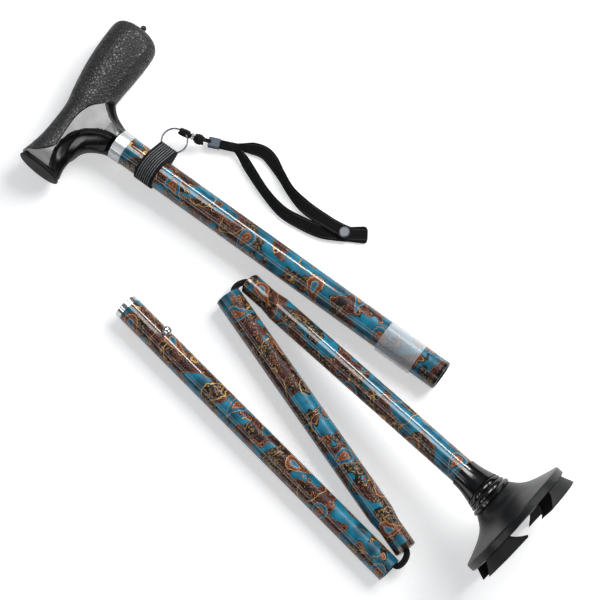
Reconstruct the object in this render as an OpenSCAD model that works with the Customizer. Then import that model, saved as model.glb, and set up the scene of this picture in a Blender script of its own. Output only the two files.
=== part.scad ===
// A folding walking cane, lying as it comes apart: the handle section is drawn off the shaft, and the
// three shaft sections lie folded on their elastic cord, with the flared four-legged foot at the end.

/* [Tubes] */
// Outer diameter of the three folding tubes
tube_d = 19; // [16:0.5:22]
// Wall of the folding tubes
tube_wall = 1.2; // [0.8:0.1:1.6]
// Wall of the handle section's tube
upper_wall = 1.2; // [0.8:0.1:2]
// Radial gap between the handle section's tube and the tube that slides in it
slide_gap = 0.3; // [0.2:0.05:0.5]
// Radial gap between a swaged plug and the mouth that it enters
plug_gap = 0.2; // [0.1:0.05:0.4]
// Length of the handle section's tube below its collar
upper_length = 280; // [250:1:310]
// Length of the section that carries the snap button
button_length = 265; // [235:1:295]
// Length of the middle section
middle_length = 220; // [200:1:240]
// Length of the lower section that shows above the foot
lower_length = 209; // [190:1:230]

/* [Plug ends] */
// Length of the swaged plug on top of a folding section
plug_length = 20; // [14:1:26]
// Length of the cone between the plug and the full tube
swage_length = 10; // [6:1:14]
// Length of the bright ring on the tip of a plug
end_ring_length = 3.8; // [2:0.2:6]
// Length of the ring on top of the button section
top_ring_length = 4.3; // [2:0.1:8]
// Depth that a ring's tongue reaches into its tube
ring_tongue = 6; // [4:0.5:10]
// Hole for the cord through a ring
cord_hole_d = 7; // [6:0.5:9]
// Diameter of the elastic cord
cord_d = 4.5; // [3:0.5:5]

/* [Height adjustment] */
// Number of height holes along the handle section's tube
hole_count = 5; // [3:1:6]
// Distance between height holes
hole_pitch = 25.4; // [20:0.1:26]
// Distance from the mouth to the first height hole
first_hole = 62; // [56:1:75]
// Diameter of the snap button
button_d = 7.6; // [6:0.2:9]
// Distance from the section's top to the snap button
button_from_top = 36; // [28:1:44]
// Height of the button over the tube
button_proud = 4.4; // [3:0.1:5]
// Turn of the button from straight up
button_turn = 42; // [0:1:90]

/* [Handle] */
// Reach of the nose in front of the shaft
nose_reach = 49.5; // [44:0.5:56]
// Reach of the tail behind the shaft
tail_reach = 80; // [70:0.5:90]
// Height of the grip's middle over the collar
grip_rise = 39; // [35:0.2:43]
// Depth of the grip from top to underside
grip_depth = 39; // [35:0.2:43]
// Width of the grip across the hand
grip_width = 30.4; // [26:0.2:34]
// Diameter of the disc on the nose
nose_d = 34; // [30:0.5:38]
// Thickness of the disc on the nose
nose_plate = 3.4; // [2:0.2:5]
// Length of the bright collar between the neck and the tube
collar_length = 9.4; // [6:0.2:14]
// Wall of the bright collar
collar_wall = 0.5; // [0.3:0.1:1]
// Depth that the handle's spigot reaches into the tube below the collar
spigot_depth = 25; // [15:1:40]
// Diameter of the stud in the tail
stud_d = 4.6; // [3:0.2:7]

/* [Band and strap] */
// Distance from the collar to the elastic band
band_from_collar = 14.6; // [10:0.2:20]
// Width of the elastic band along the tube
band_width = 15.5; // [11:0.5:18]
// Thickness of the elastic band
band_wall = 1.5; // [1:0.1:2.5]
// Mean diameter of the split ring
ring_d = 19; // [17:0.5:22]
// Diameter of the split ring's wire
ring_wire_d = 1.2; // [0.8:0.1:1.4]
// Width of the strap's webbing
strap_width = 10; // [8:0.5:11]
// Thickness of the strap's webbing
strap_thick = 1.6; // [1:0.1:2]
// Diameter of the stud that closes the strap
strap_stud_d = 8.4; // [6:0.2:9]

/* [Storage sleeve] */
// Length of the clear sleeve
sleeve_length = 29.5; // [20:0.5:40]
// Wall of the clear sleeve
sleeve_wall = 1.35; // [1:0.05:2.5]
// Distance from the handle section's mouth to the sleeve
sleeve_from_mouth = 20.3; // [15:0.5:40]
// Length of the black rim on the handle section's mouth
bush_rim = 2.4; // [1.5:0.1:4]

/* [Foot] */
// Length of the smooth ferrule over the lower tube's end
ferrule_length = 18; // [16:0.5:20]
// Diameter of the ferrule at its wide end
ferrule_d = 27.6; // [26:0.2:30]
// Diameter of the upper rubber ring on the neck
neck_ring_upper_d = 31; // [29:0.2:33]
// Diameter of the lower rubber ring on the neck
neck_ring_d = 33.2; // [31:0.2:37]
// Diameter of the rim of the foot
rim_d = 90; // [84:0.5:100]
// Distance from the tube's end to the rim's edge
rim_drop = 44.5; // [43:0.5:50]
// Height of the band round the rim
rim_band = 5.8; // [3:0.2:7]
// Height of the four legs under the rim
leg_height = 9; // [7:0.2:14]
// How far a leg leans out from the rim to its sole
leg_lean = 1.4; // [0:0.1:4]
// Width of the flat ring under the rim that the legs stand on
rim_wall = 6.5; // [4:0.5:9]
// Thickness of a leg from its outer to its inner face
leg_wall = 20; // [12:0.5:24]
// Half the angle that a leg covers under the rim
leg_top_turn = 16.6; // [12:0.2:24]
// Half the angle that a leg covers at its sole
leg_sole_turn = 29.7; // [25:0.1:34]
// Turn of the foot about its axis, from a leg gap straight up to the section's left
foot_turn = 0; // [-45:1:45]
// How far the foot has drooped on its ball
foot_droop = 14; // [0:0.5:16]
// How far the foot has swayed on its ball to the section's left
foot_sway = 2; // [-6:0.5:6]

/* [Layout] */
// Heading of the handle section, counted from the X axis
upper_heading = -36.6; // [-40:0.1:-33]
// Heading of the button section
button_heading = -45.5; // [-47:0.1:-45]
// Heading of the middle section
middle_heading = 124.4; // [124:0.1:126]
// Heading of the lower section
lower_heading = -44.4; // [-45.5:0.1:-42]
// Gap between the sides of two sections where they fold
fold_side_gap = 0.6; // [0.4:0.1:2]
// Gap between a plug's tip and the mouth when the fold is straight
fold_gap = 1; // [0.5:0.1:3]

/* [Hidden] */
$fn = 96;
overrun = 1;
fit = 0.05;

// Radii of the tubes, plugs and what slides on them
tube_r = tube_d / 2;
tube_bore_r = tube_r - tube_wall;
plug_r = tube_bore_r - plug_gap;
plug_bore_r = plug_r - tube_wall;
upper_bore_r = tube_r + slide_gap;
upper_r = upper_bore_r + upper_wall;
cord_r = cord_d / 2;
ring_hole_r = cord_hole_d / 2;
bush_gap = 0.15;
bush_bore_r = tube_r + bush_gap;
bush_tongue_wall = 0.6;
bush_tongue = 8;
bush_relief = 1.5;
bush_round =(upper_r - bush_bore_r) / 2;
sleeve_r = upper_r + bush_gap + sleeve_wall;
nose_r = nose_d / 2;
neck_r = upper_r + collar_wall;

// Places along the handle section, from the collar's lower edge
mouth_x = upper_length;
bush_x = mouth_x - bush_rim;
sleeve_x = mouth_x - sleeve_from_mouth - sleeve_length;
band_x = band_from_collar;
nose_rise_share = 0.874;
nose_x = -collar_length - grip_rise * nose_rise_share;

// Points and directions of a section that lies at a heading and a tilt
function along(h, t) = [cos(t) * cos(h), cos(t) * sin(h), sin(t)];
function aside(h) = [-sin(h), cos(h), 0];
function above(h, t) = [-sin(t) * cos(h), -sin(t) * sin(h), cos(t)];
function placed(o, h, t, v) = o + v.x * along(h, t) + v.y * aside(h) + v.z * above(h, t);
function unit(v) = v / norm(v);

// The middle section lies flat, and the others take their places from it
layout_shift = [9.5, -0.7];
middle_tip = [73 + layout_shift.x, -181.7 + layout_shift.y, tube_r];
middle_dir = along(middle_heading, 0);
middle_mouth = middle_tip + middle_length * middle_dir;

// The button section lies beside the middle plug, its mouth a little past the plug's tip
button_dir = along(button_heading, 0);
button_side = tube_r + plug_r + fold_side_gap;
button_past = 2;
button_mouth = [middle_tip.x, middle_tip.y, tube_r] - button_side * aside(button_heading)
    + button_past * button_dir;
button_top = button_mouth - button_length * button_dir;

// The lower section rests on its plug and on the foot, which sets its tilt
pivot_drop = 28;
rim_lip = 1.4;
sole_clear = 0.2;
pivot_x = lower_length + pivot_drop;
leg_top_x = lower_length + rim_drop + rim_band;
leg_sole_x = leg_top_x + leg_height;
leg_top_r = rim_d / 2 - rim_lip;
leg_r = leg_top_r + leg_lean;
leg_quarter = 90;
low_turn = max(0, leg_quarter / 2 - leg_sole_turn - abs(foot_turn));
low_r = leg_r * cos(low_turn);
function rest_far(x, r) = pivot_x + ((x - pivot_x) * cos(foot_droop) - r * sin(foot_droop)) * cos(foot_sway);
function rest_low(x, r) = -(x - pivot_x) * sin(foot_droop) - r * cos(foot_droop);
function rest_tilt(x, r) = asin((sole_clear - plug_r) / norm([rest_far(x, r), rest_low(x, r)]))
    - atan2(rest_low(x, r), rest_far(x, r));
lower_tilt = max(rest_tilt(leg_sole_x, low_r), rest_tilt(leg_top_x - rim_lip / 2, rim_d / 2));
lower_dir = along(lower_heading, lower_tilt);
lower_side = tube_r + plug_r + fold_side_gap;
lower_past = 0.2;
lower_tip = [middle_mouth.x, middle_mouth.y, plug_r] - lower_side * aside(middle_heading)
    + lower_past * middle_dir;

// The handle section rests on the nose and on the sleeve
upper_tilt = asin((sleeve_r - nose_r) / (sleeve_x + sleeve_length - nose_x));
upper_from_lower = [-88.6, 97.4];
upper_start = [lower_tip.x + upper_from_lower.x, lower_tip.y + upper_from_lower.y,
    nose_r - nose_x * sin(upper_tilt)];
upper_dir = along(upper_heading, upper_tilt);
upper_mouth = upper_start + mouth_x * upper_dir;

// Hinges that carry one section's end and direction to another's, each a turn about one line
function hinge_axis(from_dir, to_dir, from, to) = unit(cross(to_dir - from_dir, to - from));
function across(v, k) = v - (v * k) * k;
function hinge_turn(from_dir, to_dir, k) =
    atan2(k * cross(across(from_dir, k), across(to_dir, k)), across(from_dir, k) * across(to_dir, k));
function hinge_point(from, to, k, turn) = (from + to) / 2 + cross(k, to - from) / (2 * tan(turn / 2));
plug_travel = plug_length + fold_gap;
upper_fold_to = middle_tip - fold_gap * middle_dir;
upper_fold_axis = hinge_axis(button_dir, middle_dir, button_mouth, upper_fold_to);
upper_fold_turn = hinge_turn(button_dir, middle_dir, upper_fold_axis);
upper_fold_point = hinge_point(button_mouth, upper_fold_to, upper_fold_axis, upper_fold_turn);
lower_fold_to = middle_mouth + fold_gap * middle_dir;
lower_fold_axis = hinge_axis(lower_dir, middle_dir, lower_tip, lower_fold_to);
lower_fold_turn = hinge_turn(lower_dir, middle_dir, lower_fold_axis);
lower_fold_point = hinge_point(lower_tip, lower_fold_to, lower_fold_axis, lower_fold_turn);
// The handle section rides on the lower fold while it is drawn back to the top of the straight shaft
function turned(v, k, a) = v * cos(a) + cross(k, v) * sin(a) + k * (k * v) * (1 - cos(a));
swing_gap = 30;
swing_end = middle_tip + (plug_length - button_length - swing_gap) * middle_dir;
swing_to = lower_fold_point + turned(swing_end - lower_fold_point, lower_fold_axis, -lower_fold_turn);
swing_axis = hinge_axis(upper_dir, lower_dir, upper_mouth, swing_to);
swing_turn = hinge_turn(upper_dir, lower_dir, swing_axis);
swing_point = hinge_point(upper_mouth, swing_to, swing_axis, swing_turn);
// The split ring lies in the band's eye, and the strap hangs from its far side
band_reach = 8.6;
eye_half = 2.1;
ring_offset = -0.3;
ring_sink_share = 3.2;
ring_x = band_x + band_width / 2 + ring_offset;
ring_y = upper_r + band_wall + band_reach - ring_wire_d * ring_sink_share + ring_d / 2;
echo(upper_fold=[upper_fold_point, upper_fold_axis, upper_fold_turn], upper_plug=[button_dir, plug_travel]);
echo(lower_fold=[lower_fold_point, lower_fold_axis, lower_fold_turn], lower_plug=[-lower_dir, plug_travel]);
echo(swing=[swing_point, swing_axis, swing_turn], height_slide=upper_dir);
foot_dir = [cos(foot_sway) * cos(foot_droop), sin(foot_sway) * cos(foot_droop), -sin(foot_droop)];
foot_left = [-sin(foot_sway), cos(foot_sway), 0];
echo(pivot=placed(lower_tip, lower_heading, lower_tilt, [pivot_x, 0, 0]), lower_tilt=lower_tilt,
    pitch_axis=placed([0, 0, 0], lower_heading, lower_tilt, foot_left),
    foot_axis=placed([0, 0, 0], lower_heading, lower_tilt, foot_dir));
echo(button=placed(button_top, button_heading, 0, [button_from_top, 0, 0]),
    button_out=placed([0, 0, 0], button_heading, 0, [0, sin(button_turn), cos(button_turn)]));
echo(ring_hinge=placed(upper_start, upper_heading, upper_tilt, [ring_x, ring_y - ring_d / 2, 0]),
    mouth=upper_mouth, start=upper_start, upper_tilt=upper_tilt);

// Frames: X runs down a section from its top, Y to its left and Z up
module framed(o, h, t) { translate(o) rotate([0, -t, h]) children(); }
module in_upper() { framed(upper_start, upper_heading, upper_tilt) children(); }
module in_button() { framed(button_top, button_heading, 0) children(); }
module in_middle() { framed(middle_tip, middle_heading, 0) children(); }
module in_lower() { framed(lower_tip, lower_heading, lower_tilt) children(); }
module in_foot() {
    in_lower()
        translate([pivot_x, 0, 0]) rotate([0, foot_droop, foot_sway]) translate([-pivot_x, 0, 0])
            rotate([-foot_turn, 0, 0]) children();
}
module in_button_side() { rotate([-button_turn, 0, 0]) children(); }

// Solids of revolution about X, from points of place and radius
module spin(points) {
    rotate([0, 90, 0]) rotate_extrude() polygon([for (p = points) [p.y, p.x]]);
}
module rod(x0, x1, r) { translate([x0, 0, 0]) rotate([0, 90, 0]) cylinder(h = x1 - x0, r = r); }
module pipe(x0, x1, r, bore) {
    spin([[x0, bore], [x0, r], [x1, r], [x1, bore]]);
}

// Closed solids from rings of points, and sweeps of a section along a route
function loft_faces(rings, sides) = concat(
    [for (i = [0:rings - 2], j = [0:sides - 1]) let (n = (j + 1) % sides)
        [i * sides + j, (i + 1) * sides + n, i * sides + n]],
    [for (i = [0:rings - 2], j = [0:sides - 1]) let (n = (j + 1) % sides)
        [i * sides + j, (i + 1) * sides + j, (i + 1) * sides + n]],
    [[for (j = [0:sides - 1]) j]],
    [[for (j = [0:sides - 1]) rings * sides - 1 - j]]);
module loft(rings) {
    polyhedron(points = [for (r = rings) each r], faces = loft_faces(len(rings), len(rings[0])));
}
function route_dir(route, i) =
    unit(route[min(i + 1, len(route) - 1)] - route[max(i - 1, 0)]);
function route_side(d) = unit(cross([0, 0, 1], d));
function ring_at(p, d, turn, outline) = let (s = route_side(d), u = cross(d, s)) [for (q = outline)
    p + (q.x * cos(turn) - q.y * sin(turn)) * s + (q.x * sin(turn) + q.y * cos(turn)) * u];
module sweep(route, turns, outline) {
    loft([for (i = [0:len(route) - 1]) ring_at(route[i], route_dir(route, i), turns[i], outline)]);
}
cord_sides = 10;
cord_outline = [for (j = [0:cord_sides - 1]) let (a = j * 360 / cord_sides) cord_r * [cos(a), sin(a)]];
function eased(a, b, c, d, t) =
    pow(1 - t, 3) * a + 3 * t * pow(1 - t, 2) * b + 3 * t * t * (1 - t) * c + pow(t, 3) * d;

// Handle: rings of the grip along its length and of the neck up its height, as shares of the sizes
ring_sides = 36;
roundness = 2.3;
function bent(v) = sign(v) * pow(abs(v), 2 / roundness);
// Shares along the reach (negative to the nose), of the rise, of half the depth and of half the width
grip_shares = [[-0.94, 0.877, 0.875, 1.1], [-0.87, 0.885, 0.83, 1], [-0.75, 0.885, 0.774, 0.88],
    [-0.55, 0.867, 0.744, 0.81], [-0.28, 0.872, 0.718, 0.79], [0.02, 0.882, 0.738, 0.82],
    [0.17, 0.923, 0.82, 0.88], [0.29, 0.954, 0.872, 0.93], [0.43, 0.985, 0.928, 0.98], [0.6, 1.003, 0.985, 1],
    [0.76, 1.018, 1.005, 1], [0.885, 1.033, 0.98, 0.96], [0.95, 1.046, 0.846, 0.87],
    [0.985, 1.046, 0.59, 0.66], [1, 1.041, 0.31, 0.38]];
function grip_place(s) = s < 0 ? s * nose_reach : s * tail_reach;
grip_rings = [for (g = grip_shares) [for (j = [0:ring_sides - 1]) let (a = -j * 360 / ring_sides)
    [-collar_length - grip_rise * g[1] - bent(sin(a)) * grip_depth / 2 * g[2], grip_place(g[0]),
        bent(cos(a)) * grip_width / 2 * g[3]]]];
// Shares of the rise, of the reach of the middle, and of half the neck's length and width
neck_shares = [[0, 0, 1, 1], [0.115, -0.001, 1.12, 0.98], [0.256, -0.003, 1.32, 0.96],
    [0.377, -0.006, 1.6, 0.955], [0.46, -0.02, 1.96, 0.95], [0.495, -0.05, 2.3, 0.95],
    [0.6, -0.06, 2.6, 0.92], [0.75, -0.06, 2.7, 0.8]];
neck_rings = [for (g = neck_shares) [for (j = [0:ring_sides - 1]) let (a = -j * 360 / ring_sides)
    [-collar_length - grip_rise * g[0], tail_reach * g[1] + cos(a) * neck_r * g[2],
        sin(a) * neck_r * g[3]]]];
// Seam between the textured cover and the smooth core, as shares of the reaches and of the rise
seam_shares = [[-0.93, 1.32], [-0.869, 1.11], [-0.79, 1], [-0.634, 0.841], [-0.521, 0.831], [-0.303, 0.859],
    [-0.103, 0.872], [0.034, 0.844], [0.124, 0.767], [0.205, 0.61], [0.294, 0.487], [0.31, 0.2]];
cover_far_share = 1.3;
cover_top_share = 2;
cover_points = concat(
    [for (s = seam_shares) [-collar_length - grip_rise * s[1], grip_place(s[0])]],
    [[-collar_length - grip_rise * seam_shares[len(seam_shares) - 1][1], tail_reach * cover_far_share],
        [-collar_length - grip_rise * cover_top_share, tail_reach * cover_far_share],
        [-collar_length - grip_rise * cover_top_share, grip_place(seam_shares[0][0])]]);

module handle_form() {
    loft(grip_rings);
    loft(neck_rings);
}
module cover_region() {
    translate([0, 0, -grip_width]) linear_extrude(2 * grip_width) polygon(cover_points);
}
module handle_core() {
    color("#1b1b1d") in_upper() {
        difference() {
            handle_form();
            cover_region();
        }
        rod(-collar_length - overrun, spigot_depth, upper_bore_r - fit);
    }
}
module grip_cover() {
    color("#2b2c2f") in_upper() intersection() {
        handle_form();
        cover_region();
    }
}
// A plate with a soft edge and a faint crown, seated on the flared front of the handle
plate_edge = 1.2;
plate_crown = 0.5;
plate_seat = -grip_place(grip_shares[0][0]);
module nose_cap() {
    color("#1b1b1d") in_upper()
        translate([nose_x, 0, 0]) rotate([0, 0, -90])
            spin([[plate_seat, 0], [plate_seat, nose_r - plate_edge],
                for (a = [0:15:90]) [plate_seat + nose_plate - plate_edge + plate_edge * sin(a),
                    nose_r - plate_edge + plate_edge * cos(a)],
                [plate_seat + nose_plate + plate_crown, 0]]);
}
stud_neck_share = 0.6;
module tail_stud() {
    tail_x = -collar_length - grip_rise * grip_shares[len(grip_shares) - 1][1];
    color("#c9ccd0") in_upper() translate([tail_x, tail_reach, 0]) {
        rotate([0, 0, 90]) rod(fit, stud_d * stud_neck_share, stud_d / 2 * stud_neck_share);
        translate([0, stud_d * stud_neck_share, 0]) sphere(d = stud_d);
    }
}
module collar() {
    color("#d8dade") in_upper() pipe(-collar_length, 0, neck_r, upper_r + fit);
}
module upper_tube() {
    seat_x = bush_x - bush_tongue - bush_relief;
    color("#1f6f86") in_upper() difference() {
        union() {
            pipe(-collar_length, seat_x, upper_r, upper_bore_r);
            pipe(seat_x, bush_x, upper_r, bush_bore_r + bush_tongue_wall + fit);
        }
        for (i = [0:hole_count - 1])
            translate([mouth_x - first_hole - i * hole_pitch, 0, -upper_r - overrun])
                cylinder(h = upper_r, r = button_d / 2 + slide_gap);
    }
}
module mouth_bush() {
    color("#141414") in_upper() {
        pipe(bush_x - bush_tongue + fit, bush_x, bush_bore_r + bush_tongue_wall, bush_bore_r);
        spin([[bush_x, bush_bore_r], [bush_x, upper_r],
            for (a = [0:15:90]) [mouth_x - bush_round + bush_round * sin(a),
                upper_r - bush_round + bush_round * cos(a)],
            [mouth_x, bush_bore_r]]);
    }
}
// The band wraps the tube and narrows to a flat eye that the split ring passes through
module ring_shape(r) {
    translate([ring_x, ring_y, 0]) rotate_extrude() translate([ring_d / 2, 0]) circle(r = r, $fn = 24);
}
module strap_band() {
    band_r = upper_r + band_wall;
    color("#202022") in_upper() difference() {
        translate([band_x, 0, 0]) rotate([90, 0, 90]) linear_extrude(band_width) difference() {
            union() {
                circle(r = band_r);
                polygon([[0, band_r], [band_r + band_reach, eye_half], [band_r + band_reach, -eye_half],
                    [0, -band_r]]);
            }
            circle(r = upper_r + fit);
        }
        ring_room();
    }
}
// The room that the ring's wire needs in the band's eye while the ring swings up
ring_swing = 75;
room_margin = 45;
room_half_share = 0.85;
room_axis_share = 1.6;
room_turn = 70;
module ring_room() {
    r = ring_d / 2;
    side = ring_wire_d * room_half_share;
    turns = [-room_turn:5:room_turn];
    translate([ring_x, ring_y - r, 0]) {
        rod(-band_width, band_width, ring_wire_d * room_axis_share);
        rotate([0, 90, 0]) rotate([0, 0, 90 - room_margin])
            rotate_extrude(angle = ring_swing + 2 * room_margin)
                polygon(concat([for (b = turns) [max(0, r - (r + side) * cos(b)), (r + side) * sin(b)]],
                    [for (b = turns) [r - (r - side) * cos(-b), (r - side) * sin(-b)]]));
    }
}
coil_share = 0.42;
module split_ring() {
    color("#c9ccd0") in_upper()
        for (side = [-1, 1]) translate([0, 0, side * ring_wire_d * coil_share]) ring_shape(ring_wire_d / 2);
}

// Strap: places are along and beside the handle section, and heights are over the floor
function on_floor(p) = [p.x, p.y, p.z - upper_start.z - p.x * sin(upper_tilt)];
function curve_point(a, b, c, d, t) = (2 * b + (c - a) * t + (2 * a - 5 * b + 4 * c - d) * t * t
    + (3 * b - a - 3 * c + d) * pow(t, 3)) / 2;
curve_steps = 4;
function curve(points) = let (last = len(points) - 1) concat(
    [for (i = [0:last - 1], k = [0:curve_steps - 1]) curve_point(points[max(i - 1, 0)], points[i],
        points[i + 1], points[min(i + 2, last)], k / curve_steps)],
    [points[last]]);
function first_three(rows) = [for (r = rows) on_floor([r[0], r[1], r[2]])];
function fourth(rows) = [for (r = rows) r[3]];
edge_share = 0.3;
function web_outline(w, t) = let (e = t * edge_share) [[w / 2, -e], [w / 2, e], [w / 2 - e, t / 2],
    [e - w / 2, t / 2], [-w / 2, e], [-w / 2, -e], [e - w / 2, -t / 2], [w / 2 - e, -t / 2]];
module webbing(rows, w, t) {
    smooth_rows = curve(rows);
    sweep(first_three(smooth_rows), fourth(smooth_rows), web_outline(w, t));
}
// A knotted loop of cord from the ring to the strap
knot_places = [[24.5, 36.5, 14.5], [29.4, 38.1, 12.6], [34, 39.6, 10.8], [36.4, 41.6, 9.4], [41.2, 44.6, 6.6]];
knot_d = 8.4;
knot_small_share = 0.92;
knot_cord_share = 0.36;
module cord_knot() {
    places = [for (p = knot_places) on_floor(p)];
    color("#18181a") in_upper() difference() {
        union() {
            translate(places[0]) sphere(d = knot_d, $fn = 32);
            translate(places[2]) sphere(d = knot_d * knot_small_share, $fn = 32);
            stick(places[0], places[2], knot_d * knot_cord_share / 2);
            stick(places[2], places[4], knot_d * knot_cord_share / 2);
        }
        ring_shape(ring_wire_d);
    }
}
module stick(a, b, r) {
    v = b - a;
    translate(a) rotate([0, acos(v.z / norm(v)), atan2(v.y, v.x)]) cylinder(h = norm(v), r = r, $fn = 24);
}
// A bright bead between the knots
bead_share = 0.62;
bead_length = 2;
module knot_bead() {
    places = [for (p = knot_places) on_floor(p)];
    v = unit(places[2] - places[0]);
    color("#c9ccd0") in_upper() difference() {
        stick(places[1] - v * bead_length / 2, places[1] + v * bead_length / 2, knot_d * bead_share / 2);
        stick(places[0], places[2], knot_d * knot_cord_share / 2 + fit);
    }
}
// A clip that joins the cord to the strap, then the strap's doubled neck
neck_rows = [[47.6, 47.4, 4.6, 0], [53.4, 50, 4.4, 0], [60, 53, 4.4, 0]];
clip_length = 8.6;
clip_wall = 0.8;
neck_layers = 2.4;
neck_width_share = 0.68;
module strap_clip() {
    p = on_floor([neck_rows[0][0], neck_rows[0][1], neck_rows[0][2]]);
    turn = atan2(neck_rows[1][1] - neck_rows[0][1], neck_rows[1][0] - neck_rows[0][0]);
    tall = strap_thick * neck_layers + 2 * clip_wall;
    wide = strap_width * neck_width_share;
    color("#c9ccd0") in_upper() translate(p) rotate([0, 0, turn])
        translate([-clip_length - fit, -wide / 2, -tall / 2]) difference() {
            cube([clip_length, wide, tall]);
            translate([-overrun, wide / 2, tall / 2]) rotate([0, 90, 0])
                cylinder(h = clip_length + 2 * overrun, r = knot_d * knot_cord_share / 2 + fit, $fn = 24);
        }
}
module strap_neck() {
    color("#202022") in_upper()
        webbing(neck_rows, strap_width * neck_width_share, strap_thick * neck_layers);
}
// The strap's two sides, each with its place along and beside the handle section, its height and its turn
outer_rows = [[61.4, 54.6, 4.9, 55], [70, 59.6, 4.6, 45], [78, 61.8, 3.9, 35], [86, 60.2, 3.9, 35],
    [98, 54.8, 4.9, 57], [112, 48.8, 4.9, 57], [128, 45.8, 4.2, 25], [145, 46, 4.2, 0], [154, 46.6, 4.4, 0],
    [163, 48.2, 4.4, 0]];
inner_rows = [[61.4, 51, 4.9, 57], [68, 48.6, 4.9, 55], [76, 45.2, 4.9, 52], [96.5, 37.2, 4.9, 57],
    [115, 32.9, 4.7, 47], [131, 34.4, 3.8, 32], [146, 37.8, 2.7, 10], [155, 42, 2.6, 0], [163.5, 47, 2.6, 0]];
module strap_outer() {
    color("#202022") in_upper() webbing(outer_rows, strap_width, strap_thick);
}
module strap_inner() {
    color("#202022") in_upper() webbing(inner_rows, strap_width, strap_thick);
}
// The flared tab that holds both ends, with the stud through it
tab_place = [157, 44, 1.3];
tab_length = 22;
tab_flare_share = 1.35;
tab_turn = 34;
tab_stud_share = 0.22;
stud_height = 4.2;
module strap_tab() {
    color("#202022") in_upper() translate(on_floor(tab_place)) rotate([0, 0, tab_turn])
        translate([0, 0, -strap_thick / 2]) linear_extrude(strap_thick)
            polygon([[0, -strap_width / 2], [tab_length, -strap_width * tab_flare_share / 2],
                [tab_length, strap_width * tab_flare_share / 2], [0, strap_width / 2]]);
}
stud_rise_share = 0.22;
module strap_stud() {
    rise = strap_stud_d * stud_rise_share;
    color("#b8bbc0") in_upper() translate(on_floor(tab_place)) rotate([0, 0, tab_turn])
        translate([tab_length * tab_stud_share, 0, stud_height]) rotate_extrude()
            polygon([[0, 0], [strap_stud_d / 2, 0], [strap_stud_d / 2, rise / 2],
                [strap_stud_d / 2 - rise / 2, rise], [0, rise]]);
}
// A clear sleeve on the handle section's tube, which keeps the folded sections together
sleeve_edge = 0.6;
module storage_sleeve() {
    bore = upper_r + bush_gap;
    far = sleeve_x + sleeve_length;
    color("#d9e4e8") in_upper()
        spin([[sleeve_x, bore], [sleeve_x, sleeve_r - sleeve_edge], [sleeve_x + sleeve_edge, sleeve_r],
            [far - sleeve_edge, sleeve_r], [far, sleeve_r - sleeve_edge], [far, bore]]);
}
// Button section: a plain tube with a ring on top, the button on its spring, and the cord's upper end
button_hole_r = button_d / 2 + slide_gap;
module button_tube() {
    color("#1f6f86") in_button() difference() {
        pipe(top_ring_length, button_length, tube_r, tube_bore_r);
        in_button_side() translate([button_from_top, 0, 0])
            cylinder(h = tube_r + overrun, r = button_hole_r);
    }
}
module top_ring() {
    color("#d8dade") in_button() {
        pipe(0, top_ring_length, tube_r, ring_hole_r);
        pipe(top_ring_length, top_ring_length + ring_tongue, tube_bore_r - fit, ring_hole_r);
    }
}
button_flange = 1;
button_flange_thick = 0.8;
button_seat = sqrt(pow(tube_bore_r - slide_gap, 2) - pow(button_d / 2 + button_flange, 2));
button_round_share = 0.45;
module snap_button() {
    top = tube_r + button_proud;
    soft = button_d * button_round_share;
    base = button_seat - button_flange_thick;
    wide = button_d / 2 + button_flange;
    color("#e0e2e5") in_button() in_button_side() translate([button_from_top, 0, 0]) rotate_extrude()
        polygon([[0, base], [wide, base], [wide, button_seat], [button_d / 2, button_seat],
            for (a = [0:15:90]) [button_d / 2 - soft + soft * cos(a), top - soft + soft * sin(a)],
            [0, top]]);
}
// A bent leaf spring under the button
leaf_thick = 0.6;
leaf_width = 5;
leaf_length = 18;
leaf_lead = 4;
module button_spring() {
    top = button_seat - button_flange_thick - leaf_thick / 2 - fit;
    low = -sqrt(pow(tube_bore_r - fit, 2) - pow(leaf_width / 2, 2)) + leaf_thick / 2;
    middle = (top + low) / 2;
    half = (top - low) / 2;
    x0 = button_from_top - leaf_lead;
    x1 = button_from_top + leaf_length - half;
    path = concat([[x0, top], [x1, top]],
        [for (a = [75:-15:-75]) [x1 + half * cos(a), middle + half * sin(a)]], [[x1, low], [x0, low]]);
    outside = [for (i = [0:len(path) - 1]) path[i] + leaf_thick / 2 * path_normal(path, i)];
    inside = [for (i = [len(path) - 1:-1:0]) path[i] - leaf_thick / 2 * path_normal(path, i)];
    color("#9aa0a6") in_button() in_button_side() translate([0, leaf_width / 2, 0]) rotate([90, 0, 0])
        linear_extrude(leaf_width) polygon(concat(outside, inside));
}
function path_normal(path, i) =
    let (v = unit(path[min(i + 1, len(path) - 1)] - path[max(i - 1, 0)])) [-v.y, v.x];
// The cord's ends are held by bored plugs with a knot behind each
anchor_x = 62;
anchor_length = 8;
anchor_knot_share = 1.7;
anchor_knot_r = cord_r * anchor_knot_share;
cord_lead = 45;
cord_seat = 14;
cord_end_gap = 0.6;
module cord_anchor_upper() {
    color("#55585c") in_button() pipe(anchor_x, anchor_x + anchor_length, tube_bore_r - fit, cord_r);
}
module cord_upper() {
    color("#161616") in_button() {
        rod(anchor_x - cord_r, button_length - cord_lead - cord_end_gap, cord_r - fit);
        translate([anchor_x - anchor_knot_r, 0, 0]) sphere(r = anchor_knot_r, $fn = 48);
    }
}
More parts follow.
